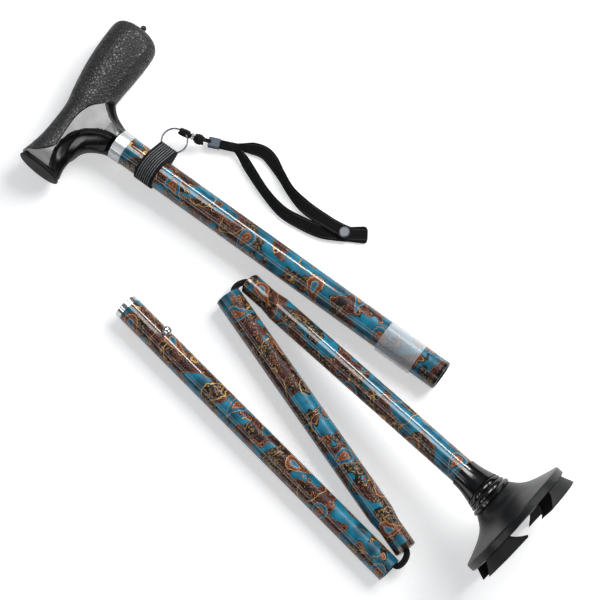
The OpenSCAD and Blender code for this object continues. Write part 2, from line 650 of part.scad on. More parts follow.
// The cord bends from a mouth round into the plug that lies beside it
bend_reach = 4.8;
bend_steps = 10;
bend_lean = 5.2;
module cord_bend(mouth, mouth_dir, tip, tip_dir) {
    lean = unit(across(tip - mouth, mouth_dir));
    start = mouth + bend_lean * lean;
    route = concat([mouth - cord_lead * mouth_dir],
        [for (i = [0:bend_steps]) eased(start, start + bend_reach * mouth_dir, tip - bend_reach * tip_dir,
            tip, i / bend_steps)], [tip + cord_seat * tip_dir]);
    sweep(route, [for (p = route) 0], cord_outline);
}
module cord_bend_upper() {
    color("#161616") cord_bend(button_mouth, button_dir, middle_tip, middle_dir);
}
module cord_bend_lower() {
    color("#161616") cord_bend(middle_mouth, middle_dir, lower_tip, lower_dir);
}
// Middle section: a tube with a swaged plug and its end ring
module swaged_tube(length) {
    full = plug_length + swage_length;
    spin([[end_ring_length, plug_bore_r], [end_ring_length, plug_r], [plug_length, plug_r], [full, tube_r],
        [length, tube_r], [length, tube_bore_r], [full, tube_bore_r], [plug_length, plug_bore_r]]);
}
ring_edge = 0.8;
module end_ring() {
    spin([[0, ring_hole_r], [0, plug_r - ring_edge], [ring_edge, plug_r], [end_ring_length, plug_r],
        [end_ring_length, plug_bore_r - fit], [end_ring_length + ring_tongue, plug_bore_r - fit],
        [end_ring_length + ring_tongue, ring_hole_r]]);
}
module middle_tube() {
    color("#1f6f86") in_middle() swaged_tube(middle_length);
}
module middle_end_ring() {
    color("#d8dade") in_middle() end_ring();
}
module cord_middle() {
    color("#161616") in_middle()
        rod(cord_seat + cord_end_gap, middle_length - cord_lead - cord_end_gap, cord_r - fit);
}
// Lower section: a swaged tube that ends in the foot's ferrule
socket_depth = 14;
lower_anchor = 34;
module lower_tube() {
    color("#1f6f86") in_lower() swaged_tube(lower_length + socket_depth);
}
module lower_end_ring() {
    color("#d8dade") in_lower() end_ring();
}
module cord_lower() {
    knot_x = lower_length - lower_anchor + anchor_length + anchor_knot_r;
    color("#161616") in_lower() {
        rod(cord_seat + cord_end_gap, knot_x, cord_r - fit);
        translate([knot_x, 0, 0]) sphere(r = anchor_knot_r, $fn = 48);
    }
}
module cord_anchor_lower() {
    x0 = lower_length - lower_anchor;
    color("#55585c") in_lower() pipe(x0, x0 + anchor_length, tube_bore_r - fit, cord_r);
}
// Foot: a ferrule with a ball, two rubber rings, a cup on the ball and the flared base on the cup
ferrule_wall = 0.9;
ferrule_curve = 1.7;
ferrule_steps = 8;
stem_r = 5.5;
ball_r = 8;
cup_gap = 0.2;
cup_wall = 1.7;
cup_r = ball_r + cup_gap + cup_wall;
base_step = 0.6;
base_inset = 0.8;
base_top = pivot_drop - base_step;
base_top_r = neck_ring_d / 2 - base_inset;
module foot_ferrule() {
    x0 = lower_length;
    x1 = lower_length + ferrule_length;
    r0 = tube_r + ferrule_wall;
    reach = asin(stem_r / ball_r);
    color("#19191b") in_lower() spin(concat([[x0, tube_r + fit]],
        [for (i = [0:ferrule_steps]) let (s = i / ferrule_steps)
            [x0 + s * (x1 - x0), r0 + pow(s, ferrule_curve) * (ferrule_d / 2 - r0)]],
        [[x1, stem_r]],
        [for (i = [0:ferrule_steps]) let (a = reach + i * (180 - reach) / ferrule_steps)
            [pivot_x - ball_r * cos(a), ball_r * sin(a)]],
        [[x0 + socket_depth, 0], [x0 + socket_depth, tube_r + fit]]));
}
neck_ring_gap = 0.3;
neck_ring_lip = 1.2;
neck_ring_lower_height = 3.6;
neck_ring_bore_share = 1.12;
neck_edge_share = 0.3;
module rubber_ring(x0, x1, r, bore) {
    edge = (x1 - x0) * neck_edge_share;
    spin([[x0, bore], [x0, r - edge], [x0 + edge, r], [x1 - edge, r], [x1, r - edge], [x1, bore]]);
}
// The upper ring is squeezed on one side, between the ferrule's end and the drooped lower ring
module neck_ring_upper() {
    x0 = lower_length + ferrule_length;
    x1 = lower_length + base_top - neck_ring_lower_height - neck_ring_gap;
    color("#161617") difference() {
        hull() {
            in_lower() rod(x0, x0 + neck_ring_lip, ferrule_d / 2);
            in_foot() rod(x1 - neck_ring_lip, x1, neck_ring_upper_d / 2);
        }
        in_lower() rod(x0 - overrun, pivot_x, stem_r * neck_ring_bore_share);
        in_lower() translate([pivot_x, 0, 0]) sphere(r = cup_r + cup_gap);
    }
}
module neck_ring_lower() {
    x1 = lower_length + base_top;
    color("#161617") in_foot()
        rubber_ring(x1 - neck_ring_lower_height, x1, neck_ring_d / 2, ball_r * neck_ring_bore_share);
}
cup_from = 88;
cup_steps = 12;
function cup_arc(r, i) = let (a = cup_from + i * (180 - cup_from) / cup_steps)
    [pivot_x - r * cos(a), r * sin(a)];
module swivel_cup() {
    color("#8d9094") in_foot() spin(concat([for (i = [0:cup_steps]) cup_arc(cup_r, i)],
        [for (i = [cup_steps:-1:0]) cup_arc(ball_r + cup_gap, i)]));
}
// Shares of the way from the neck to the rim, along the axis and out from it
flare_shares = [[0, 0], [0.06, 0.03], [0.24, 0.1], [0.38, 0.175], [0.5, 0.265], [0.6, 0.365], [0.69, 0.48],
    [0.78, 0.62], [0.87, 0.77], [0.94, 0.9], [0.985, 0.98]];
base_wall = 3;
boss_floor = 3;
hollow_shares = [[1, 0.86], [0.97, 0.72], [0.9, 0.5], [0.82, 0.3], [0.76, 0.1]];
module foot_base() {
    rim_r = rim_d / 2;
    x0 = lower_length + base_top;
    x1 = lower_length + rim_drop;
    boss_x = pivot_x + cup_r + cup_gap + boss_floor;
    color("#1b1b1d") in_foot() difference() {
        spin(concat([[x0, 0]],
            [for (s = flare_shares) [x0 + s[0] * (x1 - x0), base_top_r + s[1] * (rim_r - base_top_r)]],
            [[x1 + rim_lip / 2, rim_r], [leg_top_x - rim_lip / 2, rim_r], [leg_top_x, leg_top_r],
                [leg_top_x, leg_top_r - rim_wall]],
            [for (s = hollow_shares) [max(x0 + s[0] * (x1 - x0) + base_wall, boss_x),
                base_top_r + s[1] * (leg_top_r - rim_wall - base_top_r) / hollow_shares[0][1]]],
            [[boss_x, 0]]));
        translate([pivot_x, 0, 0]) sphere(r = cup_r + cup_gap);
    }
}
// One leg is a block under the rim whose sides sweep out to a wide sole
// Shares of the leg's height above its sole, and of the way that a side draws in
side_shares = [[0, 0.02], [0.12, 0.2], [0.3, 0.43], [0.52, 0.66], [0.76, 0.86], [1, 1]];
module foot_leg(i) {
    draw_in = leg_top_r * sin(leg_sole_turn - leg_top_turn);
    color("#19191a") in_foot() rotate([i * leg_quarter, 0, 0]) rotate([0, 90, 0])
        rotate([0, 0, leg_quarter / 2]) difference() {
            rotate([0, 0, -leg_sole_turn]) rotate_extrude(angle = 2 * leg_sole_turn)
                polygon([[leg_top_r - leg_wall, leg_top_x], [leg_top_r, leg_top_x], [leg_r, leg_sole_x],
                    [leg_r - leg_wall, leg_sole_x]]);
            for (s = [-1, 1]) rotate([0, 0, s * leg_sole_turn]) rotate([90, 0, 90])
                linear_extrude(2 * leg_r)
                    polygon(concat([[s * overrun, leg_sole_x + overrun],
                        [-s * draw_in * side_shares[0][1], leg_sole_x + overrun]],
                        [for (p = side_shares) [-s * draw_in * p[1], leg_sole_x - leg_height * p[0]]],
                        [[-s * draw_in, leg_top_x - overrun], [s * overrun, leg_top_x - overrun]]));
        }
}
module foot_leg_1() { foot_leg(0); }
module foot_leg_2() { foot_leg(1); }
module foot_leg_3() { foot_leg(2); }
module foot_leg_4() { foot_leg(3); }

handle_core();
grip_cover();
nose_cap();
tail_stud();
collar();
upper_tube();
mouth_bush();
strap_band();
split_ring();
cord_knot();
knot_bead();
strap_clip();
strap_neck();
strap_outer();
strap_inner();
strap_tab();
strap_stud();
storage_sleeve();
button_tube();
top_ring();
snap_button();
button_spring();
cord_anchor_upper();
cord_upper();
cord_bend_upper();
middle_tube();
middle_end_ring();
cord_middle();
cord_bend_lower();
lower_tube();
lower_end_ring();
cord_lower();
cord_anchor_lower();
foot_ferrule();
neck_ring_upper();
neck_ring_lower();
swivel_cup();
foot_base();
foot_leg_1();
foot_leg_2();
foot_leg_3();
foot_leg_4();
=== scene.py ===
"""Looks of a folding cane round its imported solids: printed tubes, moulded handle, strap and foot."""

from math import acos, copysign, cos, exp, hypot, pi, radians, sin, sqrt

import bmesh
import bpy
import numpy as np
from mathutils import Matrix, Vector


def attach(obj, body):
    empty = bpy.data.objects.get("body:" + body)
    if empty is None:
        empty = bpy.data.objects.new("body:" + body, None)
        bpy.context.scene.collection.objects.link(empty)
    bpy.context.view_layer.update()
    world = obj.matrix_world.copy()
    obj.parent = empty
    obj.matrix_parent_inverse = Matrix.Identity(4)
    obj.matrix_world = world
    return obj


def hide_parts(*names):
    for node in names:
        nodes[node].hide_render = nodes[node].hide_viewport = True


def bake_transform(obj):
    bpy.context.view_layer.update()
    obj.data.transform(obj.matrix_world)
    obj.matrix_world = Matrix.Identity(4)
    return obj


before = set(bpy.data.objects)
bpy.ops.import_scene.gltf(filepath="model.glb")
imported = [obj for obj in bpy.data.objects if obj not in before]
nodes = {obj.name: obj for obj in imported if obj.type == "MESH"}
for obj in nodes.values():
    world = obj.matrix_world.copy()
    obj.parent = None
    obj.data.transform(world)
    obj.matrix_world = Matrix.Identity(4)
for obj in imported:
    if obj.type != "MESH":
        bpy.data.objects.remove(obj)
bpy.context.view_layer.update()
scene = bpy.context.scene
scene.view_settings.view_transform = "Standard"

MM = 0.001
UP = Vector((0, 0, 1))


# Places of the shaft sections, in millimetres, as the solids have them
class Section:
    """A section's own frame: x down the section from its top, y to its left and z up."""

    def __init__(self, origin, heading, tilt):
        h = radians(heading)
        t = radians(tilt)
        self.origin = Vector(origin)
        self.along = Vector((cos(t) * cos(h), cos(t) * sin(h), sin(t)))
        self.aside = Vector((-sin(h), cos(h), 0))
        self.above = Vector((-sin(t) * cos(h), -sin(t) * sin(h), cos(t)))

    def place(self, x, y=0.0, z=0.0):
        """A point of the section's frame as a point of the shared frame, in metres."""
        return (self.origin + float(x) * self.along + float(y) * self.aside + float(z) * self.above) * MM

    def on_floor(self, x, y, height):
        """A point by its place in the section's frame and its height over the floor."""
        return self.place(x, y, float(height) - self.origin.z - float(x) * self.along.z)


upper = Section((-115.489, 106.972, 16.3546), -36.6, -0.8504)
button = Section((-114.82, -7.572, 9.5), -45.5, 0)
middle = Section((82.5, -182.4, 9.5), 124.4, 0)
lower = Section((-26.889, 9.572, 8.1), -44.4, 9.3955)
MIDDLE_LENGTH = 220
BUTTON_LENGTH = 265


# Camera, at the photograph's place
camera_data = bpy.data.cameras.new("camera")
camera_data.sensor_width = 36
camera_data.lens = 116.8
camera_data.clip_end = 50
camera = bpy.data.objects.new("camera", camera_data)
scene.collection.objects.link(camera)
target = Vector((9.5, -0.7, 0)) * MM
VIEW_DISTANCE = 1.4
VIEW_ELEVATION = radians(74)
camera.location = target + VIEW_DISTANCE * Vector((0, -cos(VIEW_ELEVATION), sin(VIEW_ELEVATION)))
camera.rotation_euler = (pi / 2 - VIEW_ELEVATION, 0, 0)
scene.camera = camera


# Short calls that build node trees
def linear(code):
    """A colour written as #rrggbb, as linear values."""
    parts = [int(code[i:i + 2], 16) / 255 for i in (1, 3, 5)]
    return tuple(c / 12.92 if c <= 0.04045 else ((c + 0.055) / 1.055) ** 2.4 for c in parts) + (1.0,)


class Graph:
    """A node tree that is filled by calls, each of which gives back an output socket."""

    def __init__(self, tree):
        self.tree = tree

    def node(self, kind, values=(), **settings):
        """A new node with its settings, and values for its first inputs."""
        made = self.tree.nodes.new(kind)
        for name, value in settings.items():
            setattr(made, name, value)
        for socket, value in zip(made.inputs, values):
            self.put(socket, value)
        return made

    def named(self, kind, values, **settings):
        """A new node with its settings, and values for the inputs that are named."""
        made = self.node(kind, **settings)
        for name, value in values.items():
            self.put(made.inputs[name], value)
        return made

    def put(self, socket, value):
        if isinstance(value, bpy.types.NodeSocket):
            self.tree.links.new(value, socket)
        elif isinstance(value, str):
            socket.default_value = linear(value)
        else:
            socket.default_value = value

    def math(self, operation, *values):
        return self.node("ShaderNodeMath", values, operation=operation).outputs[0]

    def vector(self, operation, *values):
        made = self.node("ShaderNodeVectorMath", values, operation=operation)
        return made.outputs[1 if operation == "DOT_PRODUCT" else 0]

    def scaled(self, vector, factor):
        made = self.node("ShaderNodeVectorMath", (vector,), operation="SCALE")
        self.put(made.inputs["Scale"], factor)
        return made.outputs[0]

    def combine(self, x, y, z):
        return self.node("ShaderNodeCombineXYZ", (x, y, z)).outputs[0]

    def split(self, vector):
        return tuple(self.node("ShaderNodeSeparateXYZ", (vector,)).outputs)

    def mix(self, factor, first, second):
        made = self.node("ShaderNodeMix", data_type="RGBA")
        self.put(made.inputs[0], factor)
        self.put(made.inputs[6], first)
        self.put(made.inputs[7], second)
        return made.outputs[2]

    def ramp(self, factor, stops, steps=False):
        made = self.node("ShaderNodeValToRGB", (factor,))
        band = made.color_ramp
        band.interpolation = "CONSTANT" if steps else "LINEAR"
        while len(band.elements) < len(stops):
            band.elements.new(0.5)
        for element, (place, code) in zip(band.elements, stops):
            element.position = place
            element.color = linear(code)
        return made.outputs[0]

    def range(self, value, low, high, to_low=0.0, to_high=1.0):
        return self.node("ShaderNodeMapRange", (value, low, high, to_low, to_high)).outputs[0]

    def spread(self, noise, low, high):
        """A noise's usual reach brought to a range of values."""
        return self.range(noise, 0.3, 0.7, low, high)

    def noise(self, vector, scale, detail=2.0, roughness=0.5):
        values = {"Vector": vector, "Scale": scale, "Detail": detail, "Roughness": roughness}
        return self.named("ShaderNodeTexNoise", values).outputs[0]

    def drift(self, vector, scale, amount):
        """The vector moved about by a slow noise, which gives a pattern a hand-drawn wander."""
        made = self.named("ShaderNodeTexNoise", {"Vector": vector, "Scale": scale})
        move = self.vector("SUBTRACT", made.outputs[1], (0.5, 0.5, 0.5))
        return self.vector("ADD", vector, self.scaled(move, amount))

    def near(self, value, middle, half):
        """1 where a value lies within half of its middle."""
        return self.math("LESS_THAN", self.math("ABSOLUTE", self.math("SUBTRACT", value, middle)), half)

    def times(self, first, second):
        return self.math("MULTIPLY", first, second)

    def above(self, value, edge):
        return self.math("GREATER_THAN", value, edge)

    def voronoi(self, vector, scale, feature="F1", randomness=1.0):
        values = {"Vector": vector, "Scale": scale, "Randomness": randomness}
        return self.named("ShaderNodeTexVoronoi", values, feature=feature)

    def bump(self, height, strength, distance):
        values = {"Strength": strength, "Distance": distance, "Height": height}
        return self.named("ShaderNodeBump", values).outputs[0]


class Finish(Graph):
    """A new material that is filled by calls; point is the object's own coordinates in mm."""

    def __init__(self, name):
        self.material = bpy.data.materials.new(name)
        self.material.use_nodes = True
        super().__init__(self.material.node_tree)
        self.shader = self.tree.nodes["Principled BSDF"]
        self.point = self.scaled(self.node("ShaderNodeTexCoord").outputs["Object"], 1000.0)

    def set(self, **values):
        """Sets the shader's sockets, named with underscores for spaces, and gives the material."""
        for name, value in values.items():
            self.put(self.shader.inputs[name.replace("_", " ")], value)
        return self.material


# Print of the tubes: a paisley of the common kind, laid out by formulas
PRINT_ROUND = 60.0
PATCH_EDGE = 0.515
LACE_EDGE = 0.585
# Its teardrops: steps along and round the tube, size in mm, and shares of their outline
DROP_STEP = 31.0
DROP_COUNT = 2.0
DROP_R = 6.0
DROP_TAIL = 14.0
DROP_CURL = 0.036
DROP_TAPER = 0.74
DROP_POINT = 0.2
DROP_TEETH = 8.0
TOOTH_DEPTH = 0.12
DROP_EDGE = 1.16
DROP_REACH = 1.25
DROP_GAPS = 0.3


def lattice(g, along, around):
    """Places in the cells of a staggered grid on a tube, in mm from each cell's middle, and its chance."""
    u = g.math("DIVIDE", along, DROP_STEP)
    column = g.math("FLOOR", u)
    odd = g.times(g.math("FLOORED_MODULO", column, 2.0), 0.5)
    v = g.math("ADD", g.times(around, DROP_COUNT), odd)
    row = g.math("FLOOR", v)
    x = g.times(g.math("SUBTRACT", g.math("SUBTRACT", u, column), 0.5), DROP_STEP)
    y = g.times(g.math("SUBTRACT", g.math("SUBTRACT", v, row), 0.5), PRINT_ROUND / DROP_COUNT)
    cell = g.combine(column, g.math("FLOORED_MODULO", row, DROP_COUNT), 0.0)
    chance = g.named("ShaderNodeTexWhiteNoise", {"Vector": cell}, noise_dimensions="3D")
    return x, y, chance


def teardrop(g, x, y, chance):
    """A curled teardrop's growing contours, 1 at its outline, and the angle round its middle."""
    turn = g.times(chance.outputs["Value"], 2 * pi)
    c = g.math("COSINE", turn)
    s = g.math("SINE", turn)
    p = g.math("ADD", g.times(x, c), g.times(y, s))
    q = g.math("SUBTRACT", g.times(y, c), g.times(x, s))
    q = g.math("ADD", q, (DROP_TAIL - DROP_R) / 2)
    p = g.math("ADD", p, g.times(g.times(q, q), DROP_CURL))
    up = g.math("MAXIMUM", q, 0.0)
    low = g.math("MINIMUM", q, 0.0)
    taper = g.math("SUBTRACT", 1.0, g.times(up, DROP_TAPER / DROP_TAIL))
    p = g.math("DIVIDE", p, g.math("MAXIMUM", taper, DROP_POINT))
    q = g.math("ADD", low, g.times(up, DROP_R / DROP_TAIL))
    far = g.math("SQRT", g.math("ADD", g.times(p, p), g.times(q, q)))
    return g.math("DIVIDE", far, DROP_R), g.math("ARCTAN2", q, p)


def print_group():
    """The print's colour on a tube, from the point and the place along it in mm and the share round it."""
    tree = bpy.data.node_groups.new("tube_print", "ShaderNodeTree")
    for name, kind in (("Point", "Vector"), ("Along", "Float"), ("Around", "Float")):
        tree.interface.new_socket(name, in_out="INPUT", socket_type="NodeSocket" + kind)
    tree.interface.new_socket("Color", in_out="OUTPUT", socket_type="NodeSocketColor")
    g = Graph(tree)
    point, along, around = tuple(g.node("NodeGroupInput").outputs)[:3]
    # Peacock ground with a soft change of tone
    tone = g.noise(point, 0.09, 3.0, 0.55)
    ground = g.ramp(tone, ((0.3, "#043a49"), (0.45, "#066079"), (0.58, "#0a7896"), (0.76, "#1a90ae")))
    wandering = g.drift(point, 0.13, 6.0)
    # Rust patches full of curled strokes, in dark lines with a little gold
    patch = g.noise(wandering, 0.068, 1.0, 0.4)
    scroll = g.voronoi(wandering, 0.14, randomness=0.9).outputs["Distance"]
    turns = g.math("FRACT", g.math("ADD", g.times(scroll, 5.5), g.noise(point, 0.2, 2.0)))
    rust = g.ramp(g.noise(point, 0.16, 2.0), ((0.3, "#46201a"), (0.5, "#7b3d2e"), (0.68, "#9c5a46")))
    rust = g.mix(g.near(turns, 0.5, 0.2), rust, "#160b09")
    glint = g.times(g.near(turns, 0.84, 0.08), g.above(g.noise(point, 0.08, 1.0), 0.54))
    rust = g.mix(glint, rust, "#c48a4a")
    veins = g.voronoi(wandering, 0.58, "DISTANCE_TO_EDGE").outputs["Distance"]
    veined = g.times(g.math("LESS_THAN", veins, 0.1), g.above(g.noise(point, 0.07, 1.0), 0.5))
    rust = g.mix(veined, rust, "#22110c")
    colour = g.mix(g.above(patch, PATCH_EDGE), ground, rust)
    # Dark patches with tan rings and dots
    shade = g.noise(g.vector("ADD", wandering, (71.0, 23.0, 40.0)), 0.058, 1.0, 0.4)
    beads = g.voronoi(point, 0.5, randomness=0.8)
    ring = g.near(beads.outputs["Distance"], 0.33, 0.08)
    lace = g.mix(ring, "#15100e", "#a5814e")
    lace = g.mix(g.math("LESS_THAN", beads.outputs["Distance"], 0.12), lace, "#8a3a24")
    colour = g.mix(g.above(shade, LACE_EDGE), colour, lace)
    # Gold and dark outlines of the patches, and long gold stems
    colour = g.mix(g.near(patch, PATCH_EDGE, 0.013), colour, "#140c0a")
    colour = g.mix(g.near(patch, PATCH_EDGE + 0.007, 0.004), colour, "#bf8848")
    colour = g.mix(g.near(shade, LACE_EDGE, 0.009), colour, "#120b0a")
    stem = g.noise(g.vector("ADD", wandering, (13.0, 57.0, 88.0)), 0.04, 0.0, 0.4)
    grown = g.above(g.noise(point, 0.045, 1.0), 0.5)
    colour = g.mix(g.times(g.near(stem, 0.5, 0.012), grown), colour, "#1a0f0b")
    colour = g.mix(g.times(g.near(stem, 0.5, 0.006), grown), colour, "#d3a45c")
    # Large curled teardrops, some left out
    x, y, chance = lattice(g, along, around)
    drop, angle = teardrop(g, x, y, chance)
    teeth = g.math("ABSOLUTE", g.math("SINE", g.times(angle, DROP_TEETH)))
    drop = g.math("ADD", drop, g.times(teeth, TOOTH_DEPTH))
    bands = g.math("DIVIDE", drop, DROP_REACH)
    warm = g.ramp(bands, (
        (0, "#c8934e"), (0.08, "#20110d"), (0.15, "#0d7596"), (0.36, "#d6a75e"), (0.41, "#1c100d"),
        (0.47, "#843d26"), (0.6, "#2a140e"), (0.66, "#93472c"), (0.8, "#d9b06a"), (0.86, "#120b0a")
    ), steps=True)
    cool = g.ramp(bands, (
        (0, "#9c1f2a"), (0.09, "#d0a25a"), (0.14, "#1c100d"), (0.2, "#843d26"), (0.4, "#c08a49"),
        (0.45, "#140c0a"), (0.52, "#0a5a76"), (0.74, "#1583a5"), (0.82, "#bf8a47"), (0.87, "#120b0a")
    ), steps=True)
    lots = g.split(chance.outputs["Color"])
    kind = g.above(lots[1], 0.5)
    shown = g.times(g.math("LESS_THAN", drop, DROP_EDGE), g.above(lots[0], DROP_GAPS))
    colour = g.mix(shown, colour, g.mix(kind, warm, cool))
    # Small red buds
    buds = g.voronoi(point, 0.12)
    bud = g.times(g.math("LESS_THAN", buds.outputs["Distance"], 0.13),
                  g.above(g.split(buds.outputs["Color"])[0], 0.55))
    bud_colour = g.ramp(buds.outputs["Distance"], ((0, "#b0212e"), (0.085, "#2a0d0c")), steps=True)
    colour = g.mix(bud, colour, bud_colour)
    g.node("NodeGroupOutput", (colour,))
    return tree


PRINT = print_group()


def tube_place(g, section):
    """The point from a section's top, its place along the section, and its angle round it."""
    from_top = g.vector("SUBTRACT", g.point, tuple(section.origin))
    along, left, up = [g.vector("DOT_PRODUCT", from_top, tuple(way))
                       for way in (section.along, section.aside, section.above)]
    return from_top, along, g.math("ARCTAN2", left, up)


def print_material(name, section, turn):
    """Lacquered print on a tube; turn moves the print round the tube."""
    g = Finish(name)
    from_top, along, angle = tube_place(g, section)
    around = g.math("ADD", g.math("DIVIDE", angle, 2 * pi), turn)
    pattern = g.node("ShaderNodeGroup", (from_top, along, around), node_tree=PRINT)
    wear = g.noise(g.point, 0.35, 3.0)
    return g.set(Base_Color=pattern.outputs["Color"], Roughness=g.spread(wear, 0.3, 0.42),
                 Specular_IOR_Level=0.2, Coat_Weight=1.0, Coat_Roughness=0.03, Coat_IOR=1.42)


# Plain finishes
def metal_material(name, colour, rough_low, rough_high, metallic=1.0):
    """Polished metal with a little change of gloss and tone; a lower metallic share gives a satin skin."""
    g = Finish(name)
    smear = g.noise(g.point, 0.6, 3.0, 0.6)
    tone = g.scaled(linear(colour)[:3], g.spread(smear, 0.96, 1.0))
    return g.set(Base_Color=tone, Metallic=metallic, Roughness=g.spread(smear, rough_low, rough_high))


def collar_material():
    """Aluminium with a painted reflection: fine grey and white streaks along the collar, painted into its
    colour.
    """
    g = Finish("collar_metal")
    around = tube_place(g, upper)[2]
    # Painted reflection: streaks by the angle round the collar, from grey to near white, stand in for what
    # the polished collar mirrors
    reflection_streaks = g.noise(g.combine(around, 0.0, 0.0), 7.0, 3.0, 0.7)
    tone = g.ramp(reflection_streaks, ((0.34, "#7d8084"), (0.44, "#c9cccf"), (0.58, "#eef0f2")))
    return g.set(Base_Color=tone, Metallic=0.45, Roughness=g.spread(reflection_streaks, 0.34, 0.26))


def plastic_material(name, colour, light, rough_low, rough_high, grain, depth, specular=0.5, ior=1.5):
    """Moulded plastic or rubber: a fine skin and a little change of gloss."""
    g = Finish(name)
    skin = g.noise(g.point, grain, 3.0, 0.6)
    cloud = g.noise(g.point, 0.09, 3.0)
    return g.set(Base_Color=g.mix(cloud, colour, light), Normal=g.bump(skin, 0.25, depth * MM),
                 Roughness=g.spread(cloud, rough_low, rough_high), Specular_IOR_Level=specular, IOR=ior)


def leather_material():
    """Pebbled grip leather: small raised cells, with painted shade in the valleys between them."""
    g = Finish("grip_leather")
    bent = g.drift(g.point, 0.5, 0.8)
    cells = g.voronoi(bent, 0.5, "SMOOTH_F1").outputs["Distance"]
    valleys = g.voronoi(bent, 0.5, "DISTANCE_TO_EDGE").outputs["Distance"]
    fine = g.noise(g.point, 2.6, 2.0)
    pebbles = g.math("SUBTRACT", g.math("MINIMUM", valleys, 0.3), g.times(cells, 0.35))
    height = g.math("ADD", pebbles, g.times(fine, 0.06))
    # Painted shade: the colour goes darker towards each cell's edge, in the valleys between the pebbles
    return g.set(Base_Color=g.mix(g.range(valleys, 0.04, 0.26), "#020203", "#0e0f10"),
                 Roughness=g.range(valleys, 0.02, 0.26, 0.7, 0.24), Specular_IOR_Level=0.5,
                 Normal=g.bump(height, 0.8, 0.0011), Coat_Weight=g.range(valleys, 0.08, 0.3, 0.0, 0.6),
                 Coat_Roughness=0.3, Coat_IOR=1.6)


# Sizes of the webbing's weave and stitches, in mm
WEFT_STEP = 0.55
STITCH_ROW = 3.7
STITCH_HALF = 0.28
STITCH_STEP = 1.7


def web_material(name, ribs, colour, light):
    """Woven cord: ribs across its width and fine cross threads, by the piece's own lengthwise map; the
    raised threads are painted lighter and the grooves darker, as painted light and shade.
    """
    g = Finish(name)
    lay = g.node("ShaderNodeUVMap", uv_map="lay")
    x, y, _ = g.split(lay.outputs[0])
    weft = g.math("ABSOLUTE", g.math("SINE", g.times(x, pi / WEFT_STEP)))
    warp = g.math("ABSOLUTE", g.math("SINE", g.times(y, pi * ribs)))
    height = g.math("ADD", g.times(weft, 0.6), warp)
    fluff = g.noise(g.point, 1.7, 3.0, 0.7)
    # Painted light and shade: the thread height lightens the tops of the weave and leaves its grooves dark
    shade = g.times(g.times(height, 0.55), fluff)
    weave_with_painted_shade = g.mix(shade, colour, light)
    g.set(Base_Color=weave_with_painted_shade, Roughness=0.82, Specular_IOR_Level=0.15, Sheen_Weight=0.04,
          Sheen_Roughness=0.5, Normal=g.bump(height, 0.7, 0.00035))
    return g, weave_with_painted_shade, x, y


def strap_material():
    """Black webbing with a row of pale stitches along each edge."""
    g, weave_with_painted_shade, x, y = web_material("webbing", 5.0, "#030304", "#121314")
    row = g.near(g.math("ABSOLUTE", y), STITCH_ROW, STITCH_HALF)
    stitch = g.math("LESS_THAN", g.math("FRACT", g.math("DIVIDE", x, STITCH_STEP)), 0.55)
    return g.set(Base_Color=g.mix(g.times(row, stitch), weave_with_painted_shade, "#4c4e51"))


def elastic_material():
    """Black elastic with pale threads round the tube in its middle."""
    g, weave_with_painted_shade, x, y = web_material("band_elastic", 1.0, "#070708", "#1e1f21")
    thread = g.near(g.math("FRACT", y), 0.5, 0.2)
    middle_part = g.near(y, 4.6, 3.6)
    worn = g.spread(g.noise(g.combine(x, y, 0.0), 0.8, 2.0), 0.5, 1.0)
    return g.set(Base_Color=g.mix(g.times(g.times(thread, middle_part), worn), weave_with_painted_shade, "#808285"))


def sleeve_material():
    """Frosted clear plastic: the print shows through it, paler, and its edges are whiter."""
    g = Finish("clear_sleeve")
    haze = g.noise(g.point, 0.12, 3.0)
    facing = g.named("ShaderNodeLayerWeight", {"Blend": 0.35}).outputs["Facing"]
    return g.set(Base_Color=g.mix(haze, "#f2f6f9", "#ffffff"), Roughness=g.spread(haze, 0.16, 0.28),
                 Alpha=g.range(facing, 0.0, 1.0, 0.2, 0.6))


# Finishes of the scene's own pieces, and then of the solids that are shown
RING_STEEL = metal_material("ring_steel", "#63666a", 0.16, 0.3)
PLASTIC = plastic_material("handle_plastic", "#050506", "#0c0d0e", 0.26, 0.34, 1.4, 0.04, 0.75, 1.62)
# Painted shade: the cove gets a darker, less glossy copy of the handle plastic
SHADED_COVE_PLASTIC = plastic_material("handle_cove_painted_shade", "#040405", "#08090a", 0.2, 0.28, 1.4, 0.03, 0.3)
GLOSS_RUBBER = plastic_material("ferrule_rubber", "#050506", "#0a0b0c", 0.12, 0.2, 1.2, 0.03, 0.8)
LEATHER = leather_material()
WEBBING = strap_material()
ELASTIC = elastic_material()
CORD = web_material("cord", 4.0, "#070708", "#232427")[0].material


def paint(material, *names):
    """Gives a material to solids."""
    for name in names:
        for slot in nodes[name].material_slots:
            slot.material = material


for name, section, turn in (("upper", upper, 0.1), ("button", button, 0.43), ("middle", middle, 0.72),
                            ("lower", lower, 0.27)):
    paint(print_material("print_" + name, section, turn), name + "_tube")
paint(metal_material("bright_metal", "#dfe2e5", 0.12, 0.16, 0.85), "top_ring", "snap_button", "knot_bead")
paint(collar_material(), "collar")
paint(metal_material("ring_metal", "#6d6258", 0.12, 0.26), "middle_end_ring", "lower_end_ring")
paint(metal_material("spring_steel", "#8d9297", 0.25, 0.4), "button_spring")
paint(metal_material("crimp_steel", "#3f464d", 0.42, 0.5), "strap_clip")
paint(metal_material("stud_steel", "#66696d", 0.34, 0.46), "strap_stud")
paint(plastic_material("nose_plastic", "#050506", "#0c0d0e", 0.5, 0.6, 1.4, 0.06, 0.2), "nose_cap")
paint(plastic_material("foot_rubber", "#090a0b", "#111214", 0.3, 0.36, 0.7, 0.012, 0.45), "foot_base")
paint(plastic_material("leg_rubber", "#060607", "#111213", 0.42, 0.56, 1.6, 0.12, 0.3),
      "foot_leg_1", "foot_leg_2", "foot_leg_3", "foot_leg_4")
paint(plastic_material("nylon", "#3d3f42", "#55585c", 0.4, 0.55, 0.9, 0.08),
      "cord_anchor_upper", "cord_anchor_lower", "swivel_cup")
paint(GLOSS_RUBBER, "tail_stud", "mouth_bush", "foot_ferrule", "neck_ring_lower")
paint(sleeve_material(), "storage_sleeve")


